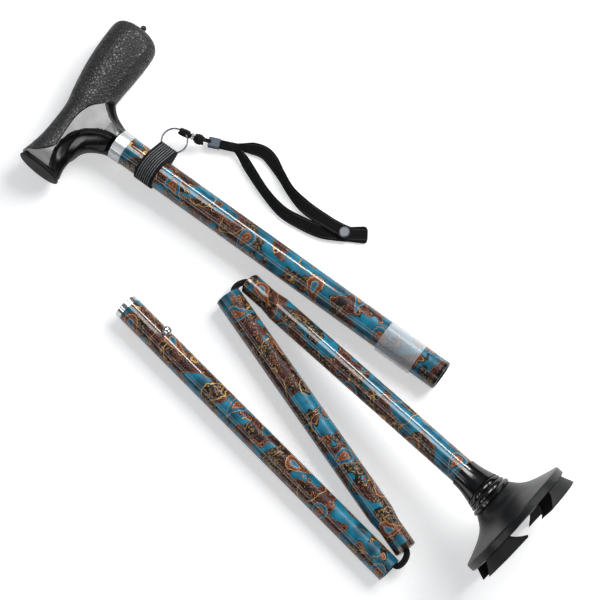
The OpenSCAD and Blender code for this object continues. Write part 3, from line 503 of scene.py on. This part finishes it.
# Meshes from rings of points
def mesh_piece(name, points, faces, material, lay=None):
    """A smooth mesh object, faces outward, from points in metres; lay is each point's map in mm."""
    mesh = bpy.data.meshes.new(name)
    mesh.from_pydata([tuple(p) for p in points], [], faces)
    mesh.polygons.foreach_set("use_smooth", [True] * len(mesh.polygons))
    if lay is not None:
        layer = mesh.uv_layers.new(name="lay")
        for loop in mesh.loops:
            layer.data[loop.index].uv = lay[loop.vertex_index]
    made = bpy.data.objects.new(name, mesh)
    scene.collection.objects.link(made)
    mesh.materials.append(material)
    work = bmesh.new()
    work.from_mesh(mesh)
    bmesh.ops.recalc_face_normals(work, faces=work.faces)
    work.to_mesh(mesh)
    work.free()
    mesh.update()
    return made


def ring_faces(rings, sides, joined=False):
    """Quads between rings of equal sides; the end rings have a face each, or are joined to each other."""
    faces = []
    for i in range(rings if joined else rings - 1):
        here = i * sides
        there = (i + 1) % rings * sides
        for j in range(sides):
            n = (j + 1) % sides
            faces.append((here + j, here + n, there + n, there + j))
    if not joined:
        faces.append(tuple(reversed(range(sides))))
        faces.append(tuple((rings - 1) * sides + j for j in range(sides)))
    return faces


def curve_points(rows, steps):
    """Rows of numbers smoothed by a curve through them, as the solids do it."""
    rows = [np.array(r, float) for r in rows]
    last = len(rows) - 1
    made = []
    for i in range(last):
        a, b, c, d = rows[max(i - 1, 0)], rows[i], rows[i + 1], rows[min(i + 2, last)]
        for k in range(steps):
            t = k / steps
            made.append((2 * b + (c - a) * t + (2 * a - 5 * b + 4 * c - d) * t * t
                         + (3 * b - a - 3 * c + d) * t ** 3) / 2)
    made.append(rows[last])
    return made


def directions(points):
    """The unit direction of a route at each of its points."""
    last = len(points) - 1
    return [(points[min(i + 1, last)] - points[max(i - 1, 0)]).normalized() for i in range(last + 1)]


def swept(name, points, outline_at, material, turns=None, upright=UP):
    """A section swept along a route in metres; outline_at gives the section's points in mm for a place."""
    verts = []
    lay = []
    run = 0.0
    for i, (p, d) in enumerate(zip(points, directions(points))):
        if i:
            run += (p - points[i - 1]).length / MM
        side = upright.cross(d).normalized()
        up = d.cross(side)
        turn = radians(turns[i]) if turns else 0.0
        c = cos(turn)
        s = sin(turn)
        outline = outline_at(i / (len(points) - 1), run)
        for q in outline:
            verts.append(p + ((q[0] * c - q[1] * s) * side + (q[0] * s + q[1] * c) * up) * MM)
            lay.append((run, q[2]))
    return mesh_piece(name, verts, ring_faces(len(points), len(outline)), material, lay)


def sharpen(obj, degrees):
    """Marks the edges that turn by more than an angle as sharp, and shades the rest smooth."""
    work = bmesh.new()
    work.from_mesh(obj.data)
    limit = radians(degrees)
    for f in work.faces:
        f.smooth = True
    for e in work.edges:
        e.smooth = len(e.link_faces) == 2 and e.calc_face_angle(0) < limit
    work.to_mesh(obj.data)
    work.free()
    obj.data.update()


def round_outline(radius, sides, girth=None):
    """A round section in mm; each point's place round it, for the map, grows up to girth."""
    girth = girth or 2 * pi * radius
    turns = [2 * pi * j / sides for j in range(sides)]
    return [(radius * cos(a), radius * sin(a), a / (2 * pi) * girth) for a in turns]


# Cords of the folds: elastic cord from a mouth round into the plug beside it
CORD_R = 2.25
CORD_LEAD = 45
CORD_SEAT = 14
BEND_REACH = 4.8
BEND_LEAN = 5.2
BEND_STEPS = 24


def bend_route(mouth, mouth_dir, tip, tip_dir):
    """The cord's line at a fold, in metres."""
    across = tip - mouth
    across = (across - across.dot(mouth_dir) * mouth_dir).normalized()
    start = mouth + BEND_LEAN * across
    first = start + BEND_REACH * mouth_dir
    second = tip - BEND_REACH * tip_dir
    made = [mouth - CORD_LEAD * mouth_dir, mouth - CORD_LEAD / 2 * mouth_dir + BEND_LEAN / 2 * across]
    for i in range(BEND_STEPS + 1):
        t = i / BEND_STEPS
        made.append((1 - t) ** 3 * start + 3 * t * (1 - t) ** 2 * first
                    + 3 * t * t * (1 - t) * second + t ** 3 * tip)
    made.append(tip + CORD_SEAT / 2 * tip_dir)
    made.append(tip + CORD_SEAT * tip_dir)
    return [p * MM for p in made]


def cord_bend(name, node, mouth, mouth_dir, tip, tip_dir):
    """A fold's cord, swept along its route in the shared frame in place of the solid's cord."""
    route = bend_route(mouth, mouth_dir, tip, tip_dir)
    made = swept(name, route, lambda t, run: round_outline(CORD_R, 20), CORD)
    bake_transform(made)
    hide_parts(node)


middle_mouth = middle.origin + MIDDLE_LENGTH * middle.along
button_mouth = button.origin + BUTTON_LENGTH * button.along
cord_bend("cord_fold_upper", "cord_bend_upper", button_mouth, button.along, middle.origin, middle.along)
cord_bend("cord_fold_lower", "cord_bend_lower", middle_mouth, middle.along, lower.origin, lower.along)


# Straight cord inside each section, with the knot behind its plug
CORD_KNOT_R = 3.8
CORD_DRAWN = 0.05
CORD_ROWS = 60


def inner_cord(name, node, section, x0, x1, knot_x, body):
    """Cord along a section's axis from x0 to x1, swelling into a knot at one place if there is one."""
    def outline(t, run):
        near = abs(x0 + (x1 - x0) * t - knot_x) if knot_x else CORD_KNOT_R
        grow = sqrt(max(CORD_KNOT_R ** 2 - near ** 2, 0.0))
        return round_outline(max(CORD_R - CORD_DRAWN, grow), 16)

    points = [section.place(x0 + (x1 - x0) * i / CORD_ROWS) for i in range(CORD_ROWS + 1)]
    made = swept(name, points, outline, CORD)
    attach(made, body)
    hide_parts(node)


inner_cord("cord_run_upper", "cord_upper", button, 54.4, 219.4, 58.2, "button_section")
inner_cord("cord_run_middle", "cord_middle", middle, 14.6, 174.4, None, "middle_section")
inner_cord("cord_run_lower", "cord_lower", lower, 14.6, 190.6, 186.8, "foot_section")


# Wrist strap: webbing on the routes of its solids, with rounded edges and raised selvedges
WEB_COLUMNS = 14
WEB_EDGE = 0.56
EDGE_SHARE = 0.35
SELVEDGE_RISE = 0.072
SELVEDGE_IN = 0.7
SELVEDGE_HALF = 0.35


def web_outline(width, thick):
    """Webbing's section in mm, over and back under."""
    made = []
    for side in (1, -1):
        for k in range(WEB_COLUMNS + 1):
            y = (0.5 - k / WEB_COLUMNS) * width * side
            past = abs(y) - width / 2
            lip = SELVEDGE_RISE * exp(-((past + SELVEDGE_IN) / SELVEDGE_HALF) ** 2)
            fall = sqrt(max(0.0, 1 - (max(0.0, past + WEB_EDGE) / WEB_EDGE) ** 2))
            made.append((y, side * (thick / 2 * (EDGE_SHARE + (1 - EDGE_SHARE) * fall) + lip), y))
    return made


STRAP_WIDTH = 10.0
STRAP_THICK = 1.6
# Points of the routes: down and left of the section, height over the floor, and turn in degrees
neck_rows = [(47.6, 47.4, 4.6, 0), (53.4, 50, 4.4, 0), (60, 53, 4.4, 0)]
outer_rows = [(57.5, 52.2, 4.6, 20), (61.4, 54.6, 4.9, 45), (70, 59.6, 4.6, 45), (78, 61.8, 3.9, 35),
              (86, 60.2, 3.9, 35), (98, 54.8, 4.9, 57), (112, 48.8, 4.9, 57), (128, 45.8, 4.2, 25),
              (145, 46, 4.2, 0), (154, 46.6, 4.4, 0), (163, 48.2, 4.4, 0)]
inner_rows = [(57.5, 51.6, 4.6, 20), (61.4, 51, 4.9, 45), (68, 48.6, 4.9, 55), (76, 45.2, 4.9, 52),
              (96.5, 37.2, 4.9, 57), (115, 32.9, 4.7, 47), (131, 34.4, 3.8, 32), (146, 37.8, 2.7, 10),
              (155, 42, 2.6, 0), (163.5, 47, 2.6, 0)]
NECK_WIDTH = 6.8
NECK_LAYERS = 2.4
WEB_START = 4.6
WEB_SPREAD = 0.4


def web_piece(name, node, rows, width, thick, start_width):
    """Webbing on a route, riding on the lanyard; it is drawn in to start_width where it begins."""
    fine = curve_points(rows, 10)
    points = [upper.on_floor(r[0], r[1], r[2]) for r in fine]
    made = swept(name, points, lambda t, run: web_outline(min(width, start_width + WEB_SPREAD * run), thick),
                 WEBBING, [r[3] for r in fine])
    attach(made, "lanyard")
    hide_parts(node)
    return made, points


webs = [web_piece(name, node, rows, STRAP_WIDTH, STRAP_THICK, WEB_START) for name, node, rows in (
    ("strap_outer_web", "strap_outer", outer_rows), ("strap_inner_web", "strap_inner", inner_rows))]
web_piece("strap_neck_web", "strap_neck", neck_rows, NECK_WIDTH, STRAP_THICK * NECK_LAYERS, NECK_WIDTH)


# Flared tab with a hemmed end
TAB_X = 157
TAB_Y = 44
TAB_HEIGHT = 1.3
TAB_LENGTH = 22
TAB_TURN = radians(34)
TAB_CORNER = 3.2
TAB_FLARE = 0.35
TAB_THICK = STRAP_THICK - 0.3
TAB_ROWS = 48
HEM_LENGTH = 4.2
HEM_THICK = 0.22


def tab_piece():
    """The tab's plate: it flares to its free end, which has rounded corners and a hem."""
    verts = []
    lay = []
    for i in range(TAB_ROWS + 1):
        along = TAB_LENGTH * i / TAB_ROWS
        past = max(0.0, along - TAB_LENGTH + TAB_CORNER)
        drawn = 2 * (TAB_CORNER - sqrt(TAB_CORNER ** 2 - past ** 2))
        hem = HEM_THICK if along > TAB_LENGTH - HEM_LENGTH else 0.0
        outline = web_outline(STRAP_WIDTH * (1 + TAB_FLARE * i / TAB_ROWS) - drawn, TAB_THICK + hem)
        for q in outline:
            x = along * cos(TAB_TURN) - q[0] * sin(TAB_TURN)
            y = along * sin(TAB_TURN) + q[0] * cos(TAB_TURN)
            verts.append(upper.on_floor(TAB_X + x, TAB_Y + y, TAB_HEIGHT + q[1]))
            lay.append((along, q[2]))
    made = mesh_piece("strap_tab_web", verts, ring_faces(TAB_ROWS + 1, len(outline)), WEBBING, lay)
    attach(made, "lanyard")
    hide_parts("strap_tab")


tab_piece()


# Elastic band round the tube, with ribs round it, drawn in to the ring's eye
BAND_X = 14.6
BAND_WIDTH = 15.5
BAND_R = 12.5
BAND_BORE = 11.08
BAND_REACH = 8.6
EYE_HALF = 2.1
BAND_RIBS = 9
RIB_RISE = 0.42
RIB_SINK = 0.36
RIB_POWER = 0.7
BAND_LIP = 0.5
LIP_WIDTH = 0.6
THREAD_STEP = 0.62


def band_loop(count):
    """The band's outer line round the tube, as places left and up in mm, with the way outward."""
    tip = BAND_R + BAND_REACH - EYE_HALF
    lean = acos((BAND_R - EYE_HALF) / tip)
    arc = (2 * pi - 2 * lean) * BAND_R
    straight = sqrt(tip ** 2 - (BAND_R - EYE_HALF) ** 2)
    eye = 2 * lean * EYE_HALF

    def place(s):
        """The way outward as an angle, and how far from the tube to the eye, at a length round the band."""
        if s < arc:
            return lean + s / BAND_R, 0.0
        s -= arc
        if s < straight:
            return -lean, s / straight
        s -= straight
        if s < eye:
            return s / EYE_HALF - lean, 1.0
        return lean, 1 - (s - eye) / straight

    made = []
    for k in range(count):
        a, share = place((arc + 2 * straight + eye) * k / count)
        r = BAND_R + (EYE_HALF - BAND_R) * share
        made.append((tip * share + r * cos(a), r * sin(a), cos(a), sin(a)))
    return made


def band_piece():
    """The band as a ribbed tube of cloth, closed over its inner side."""
    around = 144
    across = BAND_RIBS * 8
    loop = band_loop(around)
    verts = []
    lay = []
    for i in range(across + 1):
        share = i / across
        rib = abs(sin(pi * BAND_RIBS * share))
        end = min(share, 1 - share) * BAND_WIDTH
        lift = RIB_RISE * rib ** RIB_POWER - RIB_SINK - BAND_LIP * max(0.0, 1 - end / LIP_WIDTH) ** 2
        for j, (y, z, ny, nz) in enumerate(loop):
            verts.append(upper.place(BAND_X + BAND_WIDTH * share, y + ny * lift, z + nz * lift))
            lay.append((j * THREAD_STEP, share * BAND_RIBS))
    for share in (1.0, 0.0):
        for j, (y, z, _, _) in enumerate(loop):
            inward = BAND_BORE / hypot(y, z)
            verts.append(upper.place(BAND_X + BAND_WIDTH * share, y * inward, z * inward))
            lay.append((j * THREAD_STEP, share * BAND_RIBS))
    made = mesh_piece("band_elastic", verts, ring_faces(across + 3, around, joined=True), ELASTIC, lay)
    sharpen(made, 60)
    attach(made, "handle_section")
    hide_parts("strap_band")


band_piece()


# Split ring: two turns of flattened wire
RING_X = 22.05
RING_Y = 26.76
RING_R = 9.5
RING_TURNS = 1.94
RING_START = 0.1
RING_PITCH = 1.15
WIRE_WIDE = 0.6
WIRE_HIGH = 0.55
RING_STEPS = 220


def ring_piece():
    """The split ring as one wire of nearly two turns."""
    points = []
    for i in range(RING_STEPS + 1):
        t = i / RING_STEPS
        a = 2 * pi * (RING_TURNS * t + RING_START)
        rise = (t - 0.5) * RING_PITCH
        points.append(upper.place(RING_X + RING_R * cos(a), RING_Y + RING_R * sin(a), rise))
    outline = [(WIRE_WIDE * cos(b), WIRE_HIGH * sin(b), 0.0) for b in np.linspace(0, 2 * pi, 14, False)]
    made = swept("split_ring_wire", points, lambda t, run: outline, RING_STEEL)
    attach(made, "lanyard")
    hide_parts("split_ring")


ring_piece()


# Knotted cord between the ring and the strap: wound turns over a core
knot_places = [(24.5, 36.5, 14.5), (29.4, 38.1, 12.6), (34, 39.6, 10.8), (36.4, 41.6, 9.4),
               (41.2, 44.6, 6.6)]
# The knots: name, point of the cord, reach back and ahead of it, radius, turns, cord radius and swell
knot_rows = [("cord_knot_wound", 0, 4.6, 3.4, 3.1, 5, 0.9, 0.16),
             ("cord_knot_small", 2, 3, 3.8, 4.1, 4, 1.05, 0.34)]
KNOT_GIRTH = 3.0
KNOT_CORE_R = 1.5


def wound(name, start, end, radius, turns, wire, swell):
    """Turns of cord wound round a line, swelling in the middle, as one unbroken tube."""
    axis = (end - start).normalized()
    side = axis.cross(UP).normalized()
    up = side.cross(axis)
    steps = turns * 20
    points = []
    for i in range(steps + 1):
        t = i / steps
        r = (radius - wire) * (1 - swell + swell * sin(pi * t)) * MM
        a = 2 * pi * turns * t
        points.append(start + (end - start) * t + (side * cos(a) + up * sin(a)) * r)
    return swept(name, points, lambda t, run: round_outline(wire, 10, KNOT_GIRTH), CORD, upright=axis)


def knots():
    """The two knots and the cord between them."""
    p = [upper.on_floor(*q) for q in knot_places]
    axis = (p[2] - p[0]).normalized()
    made = [wound(name, p[k] - axis * back * MM, p[k] + axis * ahead * MM, *sizes)
            for name, k, back, ahead, *sizes in knot_rows]
    fine = [Vector(q) for q in curve_points(p, 8)]
    made.append(swept("cord_knot_core", fine, lambda t, run: round_outline(KNOT_CORE_R, 14), CORD))
    for piece in made:
        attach(piece, "lanyard")
    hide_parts("cord_knot")


knots()


# Handle: one smooth form from the grip's and the neck's sections, cut along the cover's seam
COLLAR = 9.4
NOSE_REACH = 49.5
TAIL_REACH = 80.0
GRIP_RISE = 39.0
GRIP_DEPTH = 39.0
GRIP_WIDTH = 30.4
GRIP_POWER = 2.3
NECK_R = 11.5
NECK_POWER = 2.4
NECK_ROUND_SHARE = 0.06
NECK_CHANGE_SHARE = 0.3
# Sections of the grip and the neck, as shares: place, middle, and half sizes; and the seam's points
grip_shares = [(-0.94, 0.877, 0.875, 1.1), (-0.87, 0.885, 0.83, 1), (-0.75, 0.885, 0.774, 0.88),
               (-0.55, 0.867, 0.744, 0.81), (-0.28, 0.872, 0.718, 0.79), (0.02, 0.882, 0.738, 0.82),
               (0.17, 0.923, 0.82, 0.88), (0.29, 0.954, 0.872, 0.93), (0.43, 0.985, 0.928, 0.98),
               (0.6, 1.003, 0.985, 1), (0.76, 1.018, 1.005, 1), (0.885, 1.033, 0.98, 0.96),
               (0.95, 1.046, 0.846, 0.87), (0.985, 1.046, 0.59, 0.66), (1, 1.041, 0.31, 0.38)]
neck_shares = [(0, 0, 1, 1), (0.115, -0.001, 1.12, 0.98), (0.256, -0.003, 1.32, 0.96),
               (0.377, -0.006, 1.6, 0.955), (0.46, -0.02, 1.96, 0.95), (0.495, -0.05, 2.3, 0.95),
               (0.6, -0.06, 2.6, 0.92), (0.75, -0.06, 2.7, 0.8)]
seam_shares = [(-0.93, 1.32), (-0.869, 1.11), (-0.79, 1), (-0.634, 0.841), (-0.521, 0.831), (-0.303, 0.859),
               (-0.103, 0.872), (0.034, 0.844), (0.124, 0.767), (0.205, 0.61), (0.294, 0.487), (0.31, 0.2)]
SEAM_FAR_SHARE = 1.3
SEAM_TOP_SHARE = 2
HANDLE_SIDES = 72
HANDLE_VOXEL = 0.6 * MM
SEAM_GAP = 0.3
# The core's flat panel on each side: its two edges, as places along the grip and up from the collar
panel_front = [(-49, 22), (-45, 25.5), (-41, 28), (-34, 30.6), (-26, 31.2), (-16.4, 28.8), (-8.8, 23.8),
               (-3.8, 17.9), (-0.4, 10.7), (1.2, 3.4), (1.6, -1)]
panel_tail = [(7.2, -1), (7.6, 3.5), (9, 12), (13, 18.8), (16.6, 22.8), (22, 26), (30, 28)]
PANEL_HEIGHT = 11.6
PANEL_DROP = 3.6
PANEL_EDGE = 1.5
PANEL_TOP = 90
PANEL_SWELL = 0.012
SWELL_START = -30
PANEL_FOOT = 3
PANEL_BLEND = 8
PANEL_REACH = 3
COVE_RISE = 8
COVE_FOOT = 4


def grip_place(share):
    return share * (NOSE_REACH if share < 0 else TAIL_REACH)


def bent(value, power):
    return copysign(abs(value) ** (2 / power), value)


def grip_form():
    """Closed rings along the grip."""
    verts = []
    rows = curve_points([(grip_place(g[0]), g[1], g[2], g[3]) for g in grip_shares], 6)
    for y, rise, deep, wide in rows:
        for j in range(HANDLE_SIDES):
            a = -2 * pi * j / HANDLE_SIDES
            x = -COLLAR - GRIP_RISE * rise - bent(sin(a), GRIP_POWER) * GRIP_DEPTH / 2 * deep
            verts.append(upper.place(x, y, bent(cos(a), GRIP_POWER) * GRIP_WIDTH / 2 * wide))
    return verts, ring_faces(len(rows), HANDLE_SIDES)


def neck_form():
    """Closed rings up the neck: round at the collar, flat-faced higher up."""
    verts = []
    rows = curve_points(neck_shares, 8)
    for rise, middle_share, long, wide in rows:
        power = 2 + NECK_POWER * min(1.0, max(0.0, (rise - NECK_ROUND_SHARE) / NECK_CHANGE_SHARE))
        for j in range(HANDLE_SIDES):
            a = -2 * pi * j / HANDLE_SIDES
            y = TAIL_REACH * middle_share + bent(cos(a), power) * NECK_R * long
            verts.append(upper.place(-COLLAR - GRIP_RISE * rise, y, bent(sin(a), power) * NECK_R * wide))
    return verts, ring_faces(len(rows), HANDLE_SIDES)


def apply_modifiers(obj):
    """Applies the object's modifiers to its mesh."""
    graph = bpy.context.evaluated_depsgraph_get()
    mesh = bpy.data.meshes.new_from_object(obj.evaluated_get(graph))
    obj.modifiers.clear()
    obj.data = mesh


def seam_prism(gap):
    """The cover's side of the seam as a tall prism, moved back from the seam by a gap in mm."""
    line = [np.array((-COLLAR - GRIP_RISE * s[1], grip_place(s[0]))) for s in seam_shares]
    line = curve_points(line, 6)
    moved = []
    for i, p in enumerate(line):
        d = line[min(i + 1, len(line) - 1)] - line[max(i - 1, 0)]
        d = d / np.linalg.norm(d)
        moved.append(p + gap * np.array((-d[1], d[0])))
    far = TAIL_REACH * SEAM_FAR_SHARE
    top = -COLLAR - GRIP_RISE * SEAM_TOP_SHARE
    outline = [tuple(p) for p in moved] + [(moved[-1][0], far), (top, far), (top, moved[0][1])]
    count = len(outline)
    verts = [upper.place(x, y, z) for z in (-GRIP_WIDTH, GRIP_WIDTH) for x, y in outline]
    faces = [tuple(range(count)), tuple(reversed(range(count, 2 * count)))]
    faces += [(j, count + j, count + (j + 1) % count, (j + 1) % count) for j in range(count)]
    return mesh_piece("seam_tool", verts, faces, PLASTIC)


def line_distance(points, line):
    """How far each point of a plane is from a line of straight pieces."""
    best = np.full(len(points), 1e9)
    for a, b in zip(line[:-1], line[1:]):
        way = b - a
        t = np.clip((points - a) @ way / (way @ way), 0, 1)
        best = np.minimum(best, np.linalg.norm(points - a - t[:, None] * way, axis=1))
    return best


def inside_outline(points, outline):
    """Whether each point of a plane lies inside a closed outline."""
    made = np.zeros(len(points), bool)
    for a, b in zip(outline, np.roll(outline, -1, axis=0)):
        spans = (a[1] > points[:, 1]) != (b[1] > points[:, 1])
        slope = (b[0] - a[0]) / (b[1] - a[1]) if a[1] != b[1] else 0.0
        made ^= spans & (points[:, 0] < a[0] + slope * (points[:, 1] - a[1]))
    return made


def shape_panel(obj):
    """Flattens the core's panel on both sides, and sinks the surface beyond its edges into a cove."""
    count = len(obj.data.vertices)
    flat = np.empty(3 * count)
    obj.data.vertices.foreach_get("co", flat)
    axes = np.array((upper.along, upper.aside, upper.above))
    local = (flat.reshape(-1, 3) / MM - np.array(upper.origin)) @ axes.T
    plan = np.column_stack((local[:, 1], -local[:, 0] - COLLAR))
    front = np.array(curve_points(panel_front, 6))
    tail = np.array(curve_points(panel_tail, 6))
    outline = np.vstack((front, tail, [(tail[-1][0], PANEL_TOP), (front[0][0], PANEL_TOP)]))
    away = np.minimum(line_distance(plan, front), line_distance(plan, tail))
    high = np.abs(local[:, 2])
    level = PANEL_HEIGHT + PANEL_SWELL * np.clip(SWELL_START - plan[:, 0], 0, -SWELL_START) ** 2
    hold = np.clip((plan[:, 1] - PANEL_FOOT) / PANEL_BLEND, 0, 1) * np.clip(high - level + PANEL_REACH, 0, 1)
    fade = np.clip(high / COVE_RISE, 0, 1) * np.clip(plan[:, 1] / COVE_FOOT, 0, 1)
    sunk = high - PANEL_DROP * (1 - np.exp(-away / PANEL_EDGE)) * fade
    in_panel = inside_outline(plan, outline)
    height = np.where(in_panel, high + (level - high) * hold, sunk)
    local[:, 2] = np.sign(local[:, 2]) * height
    moved = (local @ axes + np.array(upper.origin)) * MM
    obj.data.vertices.foreach_set("co", moved.ravel())
    # Painted shade: faces beyond the panel's edges take the darker, duller copy of the plastic
    obj.data.materials.append(SHADED_COVE_PLASTIC)
    for f in obj.data.polygons:
        f.material_index = 0 if all(in_panel[i] for i in f.vertices) else 1
    obj.data.update()


def handle_pieces():
    """The smooth core and the grained cover."""
    verts, faces = grip_form()
    more, more_faces = neck_form()
    faces += [tuple(i + len(verts) for i in f) for f in more_faces]
    whole = mesh_piece("handle_whole", verts + more, faces, PLASTIC)
    mesher = whole.modifiers.new("voxels", "REMESH")
    mesher.mode = "VOXEL"
    mesher.voxel_size = HANDLE_VOXEL
    mesher.use_smooth_shade = True
    soften = whole.modifiers.new("soften", "SMOOTH")
    soften.factor = 0.5
    soften.iterations = 20
    apply_modifiers(whole)
    for name, operation, gap, material in (("handle_shell", "DIFFERENCE", -SEAM_GAP, PLASTIC),
                                           ("grip_skin", "INTERSECT", SEAM_GAP, LEATHER)):
        tool = seam_prism(gap)
        piece = whole.copy()
        piece.data = whole.data.copy()
        piece.name = name
        scene.collection.objects.link(piece)
        cut = piece.modifiers.new("cut", "BOOLEAN")
        cut.operation = operation
        cut.solver = "EXACT"
        cut.object = tool
        apply_modifiers(piece)
        bpy.data.objects.remove(tool)
        piece.data.materials.clear()
        piece.data.materials.append(material)
        for f in piece.data.polygons:
            f.material_index = 0
        if name == "handle_shell":
            shape_panel(piece)
        sharpen(piece, 50)
        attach(piece, "handle_section")
    bpy.data.objects.remove(whole)
    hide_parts("handle_core")
    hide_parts("grip_cover")


handle_pieces()


# Upper neck ring of the foot: two rubber ribs between the ferrule's end and the drooped lower ring
FERRULE_END = 227.0
FOOT_PIVOT = 237.0
FOOT_DROOP = radians(14)
FOOT_SWAY = radians(2)
NECK_END = 232.5
NECK_R0 = 13.8
NECK_R1 = 15.5
NECK_BORE = 10.6
NECK_RIBS = 2
RIB_ROUND = 2.6
GROOVE_DEPTH = 1.5
GROOVE_SHARE = 0.2


def foot_place(x, y, z):
    """A point of the foot, drooped and swayed about its ball, in the shared frame in metres."""
    turn = Matrix.Rotation(FOOT_SWAY, 3, "Z") @ Matrix.Rotation(FOOT_DROOP, 3, "Y")
    p = turn @ Vector((x - FOOT_PIVOT, y, z))
    return lower.place(p.x + FOOT_PIVOT, p.y, p.z)


def neck_ribs():
    """The upper neck ring with a groove beside each rib."""
    def across(t, first_r, last_r, y, z):
        """A point at a share of the way from the ferrule to the lower ring, and that way's length."""
        start = lower.place(FERRULE_END, first_r * y, first_r * z)
        way = foot_place(NECK_END, last_r * y, last_r * z) - start
        return start + way * t, way.length

    sides = 96
    rows = 16 * NECK_RIBS
    outer = []
    inner = []
    for i in range(rows + 1):
        t = i / rows
        part = abs(2 * (NECK_RIBS * t % 1.0) - 1)
        sunk = 1 - (1 - part ** RIB_ROUND) ** (1 / RIB_ROUND)
        outer.append([])
        inner.append([])
        for j in range(sides):
            y = cos(2 * pi * j / sides)
            z = sin(2 * pi * j / sides)
            point, length = across(t, NECK_R0, NECK_R1, y, z)
            bore, _ = across(t, NECK_BORE, NECK_BORE, y, z)
            depth = min(GROOVE_DEPTH * MM, GROOVE_SHARE * length) * sunk
            outer[i].append(point - (point - bore).normalized() * depth)
            inner[i].append(bore)
    verts = [p for ring in outer + inner[::-1] for p in ring]
    made = mesh_piece("neck_ribs", verts, ring_faces(2 * rows + 2, sides, joined=True), GLOSS_RUBBER)
    sharpen(made, 60)
    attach(made, "foot_section")
    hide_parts("neck_ring_upper")


neck_ribs()


# Studio: a white floor that keeps the shadows, a soft room, and lamps
FLOOR_HALF = 12
FLOOR_DROP = 0.0002
FLOOR_GREY = (0.8, 0.8, 0.8, 1)
FLOOR_GLOW = 0.5
MIRRORED_SHARE = 0.55


def studio_floor():
    """A grey floor with a glow for the camera and, less, for mirrored and transmitted rays."""
    mesh = bpy.data.meshes.new("floor")
    mesh.from_pydata([(x * FLOOR_HALF, y * FLOOR_HALF, -FLOOR_DROP)
                      for x, y in ((-1, -1), (1, -1), (1, 1), (-1, 1))], [], [(0, 1, 2, 3)])
    floor = bpy.data.objects.new("floor", mesh)
    scene.collection.objects.link(floor)
    made = bpy.data.materials.new("floor")
    made.use_nodes = True
    made.node_tree.nodes.clear()
    g = Graph(made.node_tree)
    path = g.node("ShaderNodeLightPath").outputs
    mirrored = g.math("MAXIMUM", path["Is Glossy Ray"], path["Is Transmission Ray"])
    seen = g.math("MAXIMUM", path["Is Camera Ray"], g.times(mirrored, MIRRORED_SHARE))
    grey = g.named("ShaderNodeBsdfDiffuse", {"Color": FLOOR_GREY}).outputs[0]
    glow = g.named("ShaderNodeEmission", {"Strength": g.times(seen, FLOOR_GLOW)}).outputs[0]
    g.node("ShaderNodeOutputMaterial", (g.node("ShaderNodeAddShader", (grey, glow)).outputs[0],))
    mesh.materials.append(made)


def studio_world():
    """White for the camera, a darker room in the gloss, and a room that is bright below for the rest."""
    world = bpy.data.worlds.new("studio")
    scene.world = world
    world.use_nodes = True
    world.node_tree.nodes.clear()
    g = Graph(world.node_tree)
    path = g.node("ShaderNodeLightPath").outputs
    height = g.split(g.node("ShaderNodeTexCoord").outputs["Generated"])[2]
    room = g.ramp(height, ((0.0, "#ffffff"), (0.35, "#b4b6ba"), (0.75, "#6c6e72"), (1.0, "#55575a")))
    mirrored = g.ramp(height, ((0.0, "#1c1d1f"), (0.2, "#2c2d30"), (0.45, "#5e6064"), (1.0, "#54565a")))
    sky = g.mix(path["Is Glossy Ray"], room, mirrored)
    sky = g.mix(path["Is Camera Ray"], sky, "#ffffff")
    back = g.named("ShaderNodeBackground", {"Color": sky, "Strength": 1.0}).outputs[0]
    g.node("ShaderNodeOutputWorld", (back,))


# Lamps: name, place in metres, width, length, power, and whether it lights; and how their length lies
LAMPS = (
    ("key", (0.72, 0.52, 0.94), 0.75, 0.85, 17, True),
    ("line", (0.72, 0.52, 0.94), 0.2, 1.6, 26, False),
    ("top", (-0.28, 0.68, 1.36), 0.6, 0.6, 10, False),
    ("low_strip", (-0.7, -0.91, 0.61), 0.16, 1.8, 3.5, False),
    ("high_strip", (-0.53, -0.7, 0.98), 0.12, 1.8, 2.2, False))
LAMP_WAY = Vector((0.707, -0.707, 0.0))


def area_lamp(name, place, width, length, power, lights):
    """A lamp that faces the object: it lights it, or else only shows in its gloss."""
    data = bpy.data.lights.new(name, "AREA")
    data.shape = "RECTANGLE"
    data.size = length
    data.size_y = width
    data.energy = power
    lamp = bpy.data.objects.new(name, data)
    scene.collection.objects.link(lamp)
    lamp.visible_diffuse = lights
    lamp.visible_glossy = not lights
    z = Vector(place).normalized()
    y = z.cross(LAMP_WAY).normalized()
    turn = Matrix((y.cross(z), y, z)).transposed().to_4x4()
    turn.translation = Vector(place)
    lamp.matrix_world = turn


studio_floor()
studio_world()
for row in LAMPS:
    area_lamp(*row)
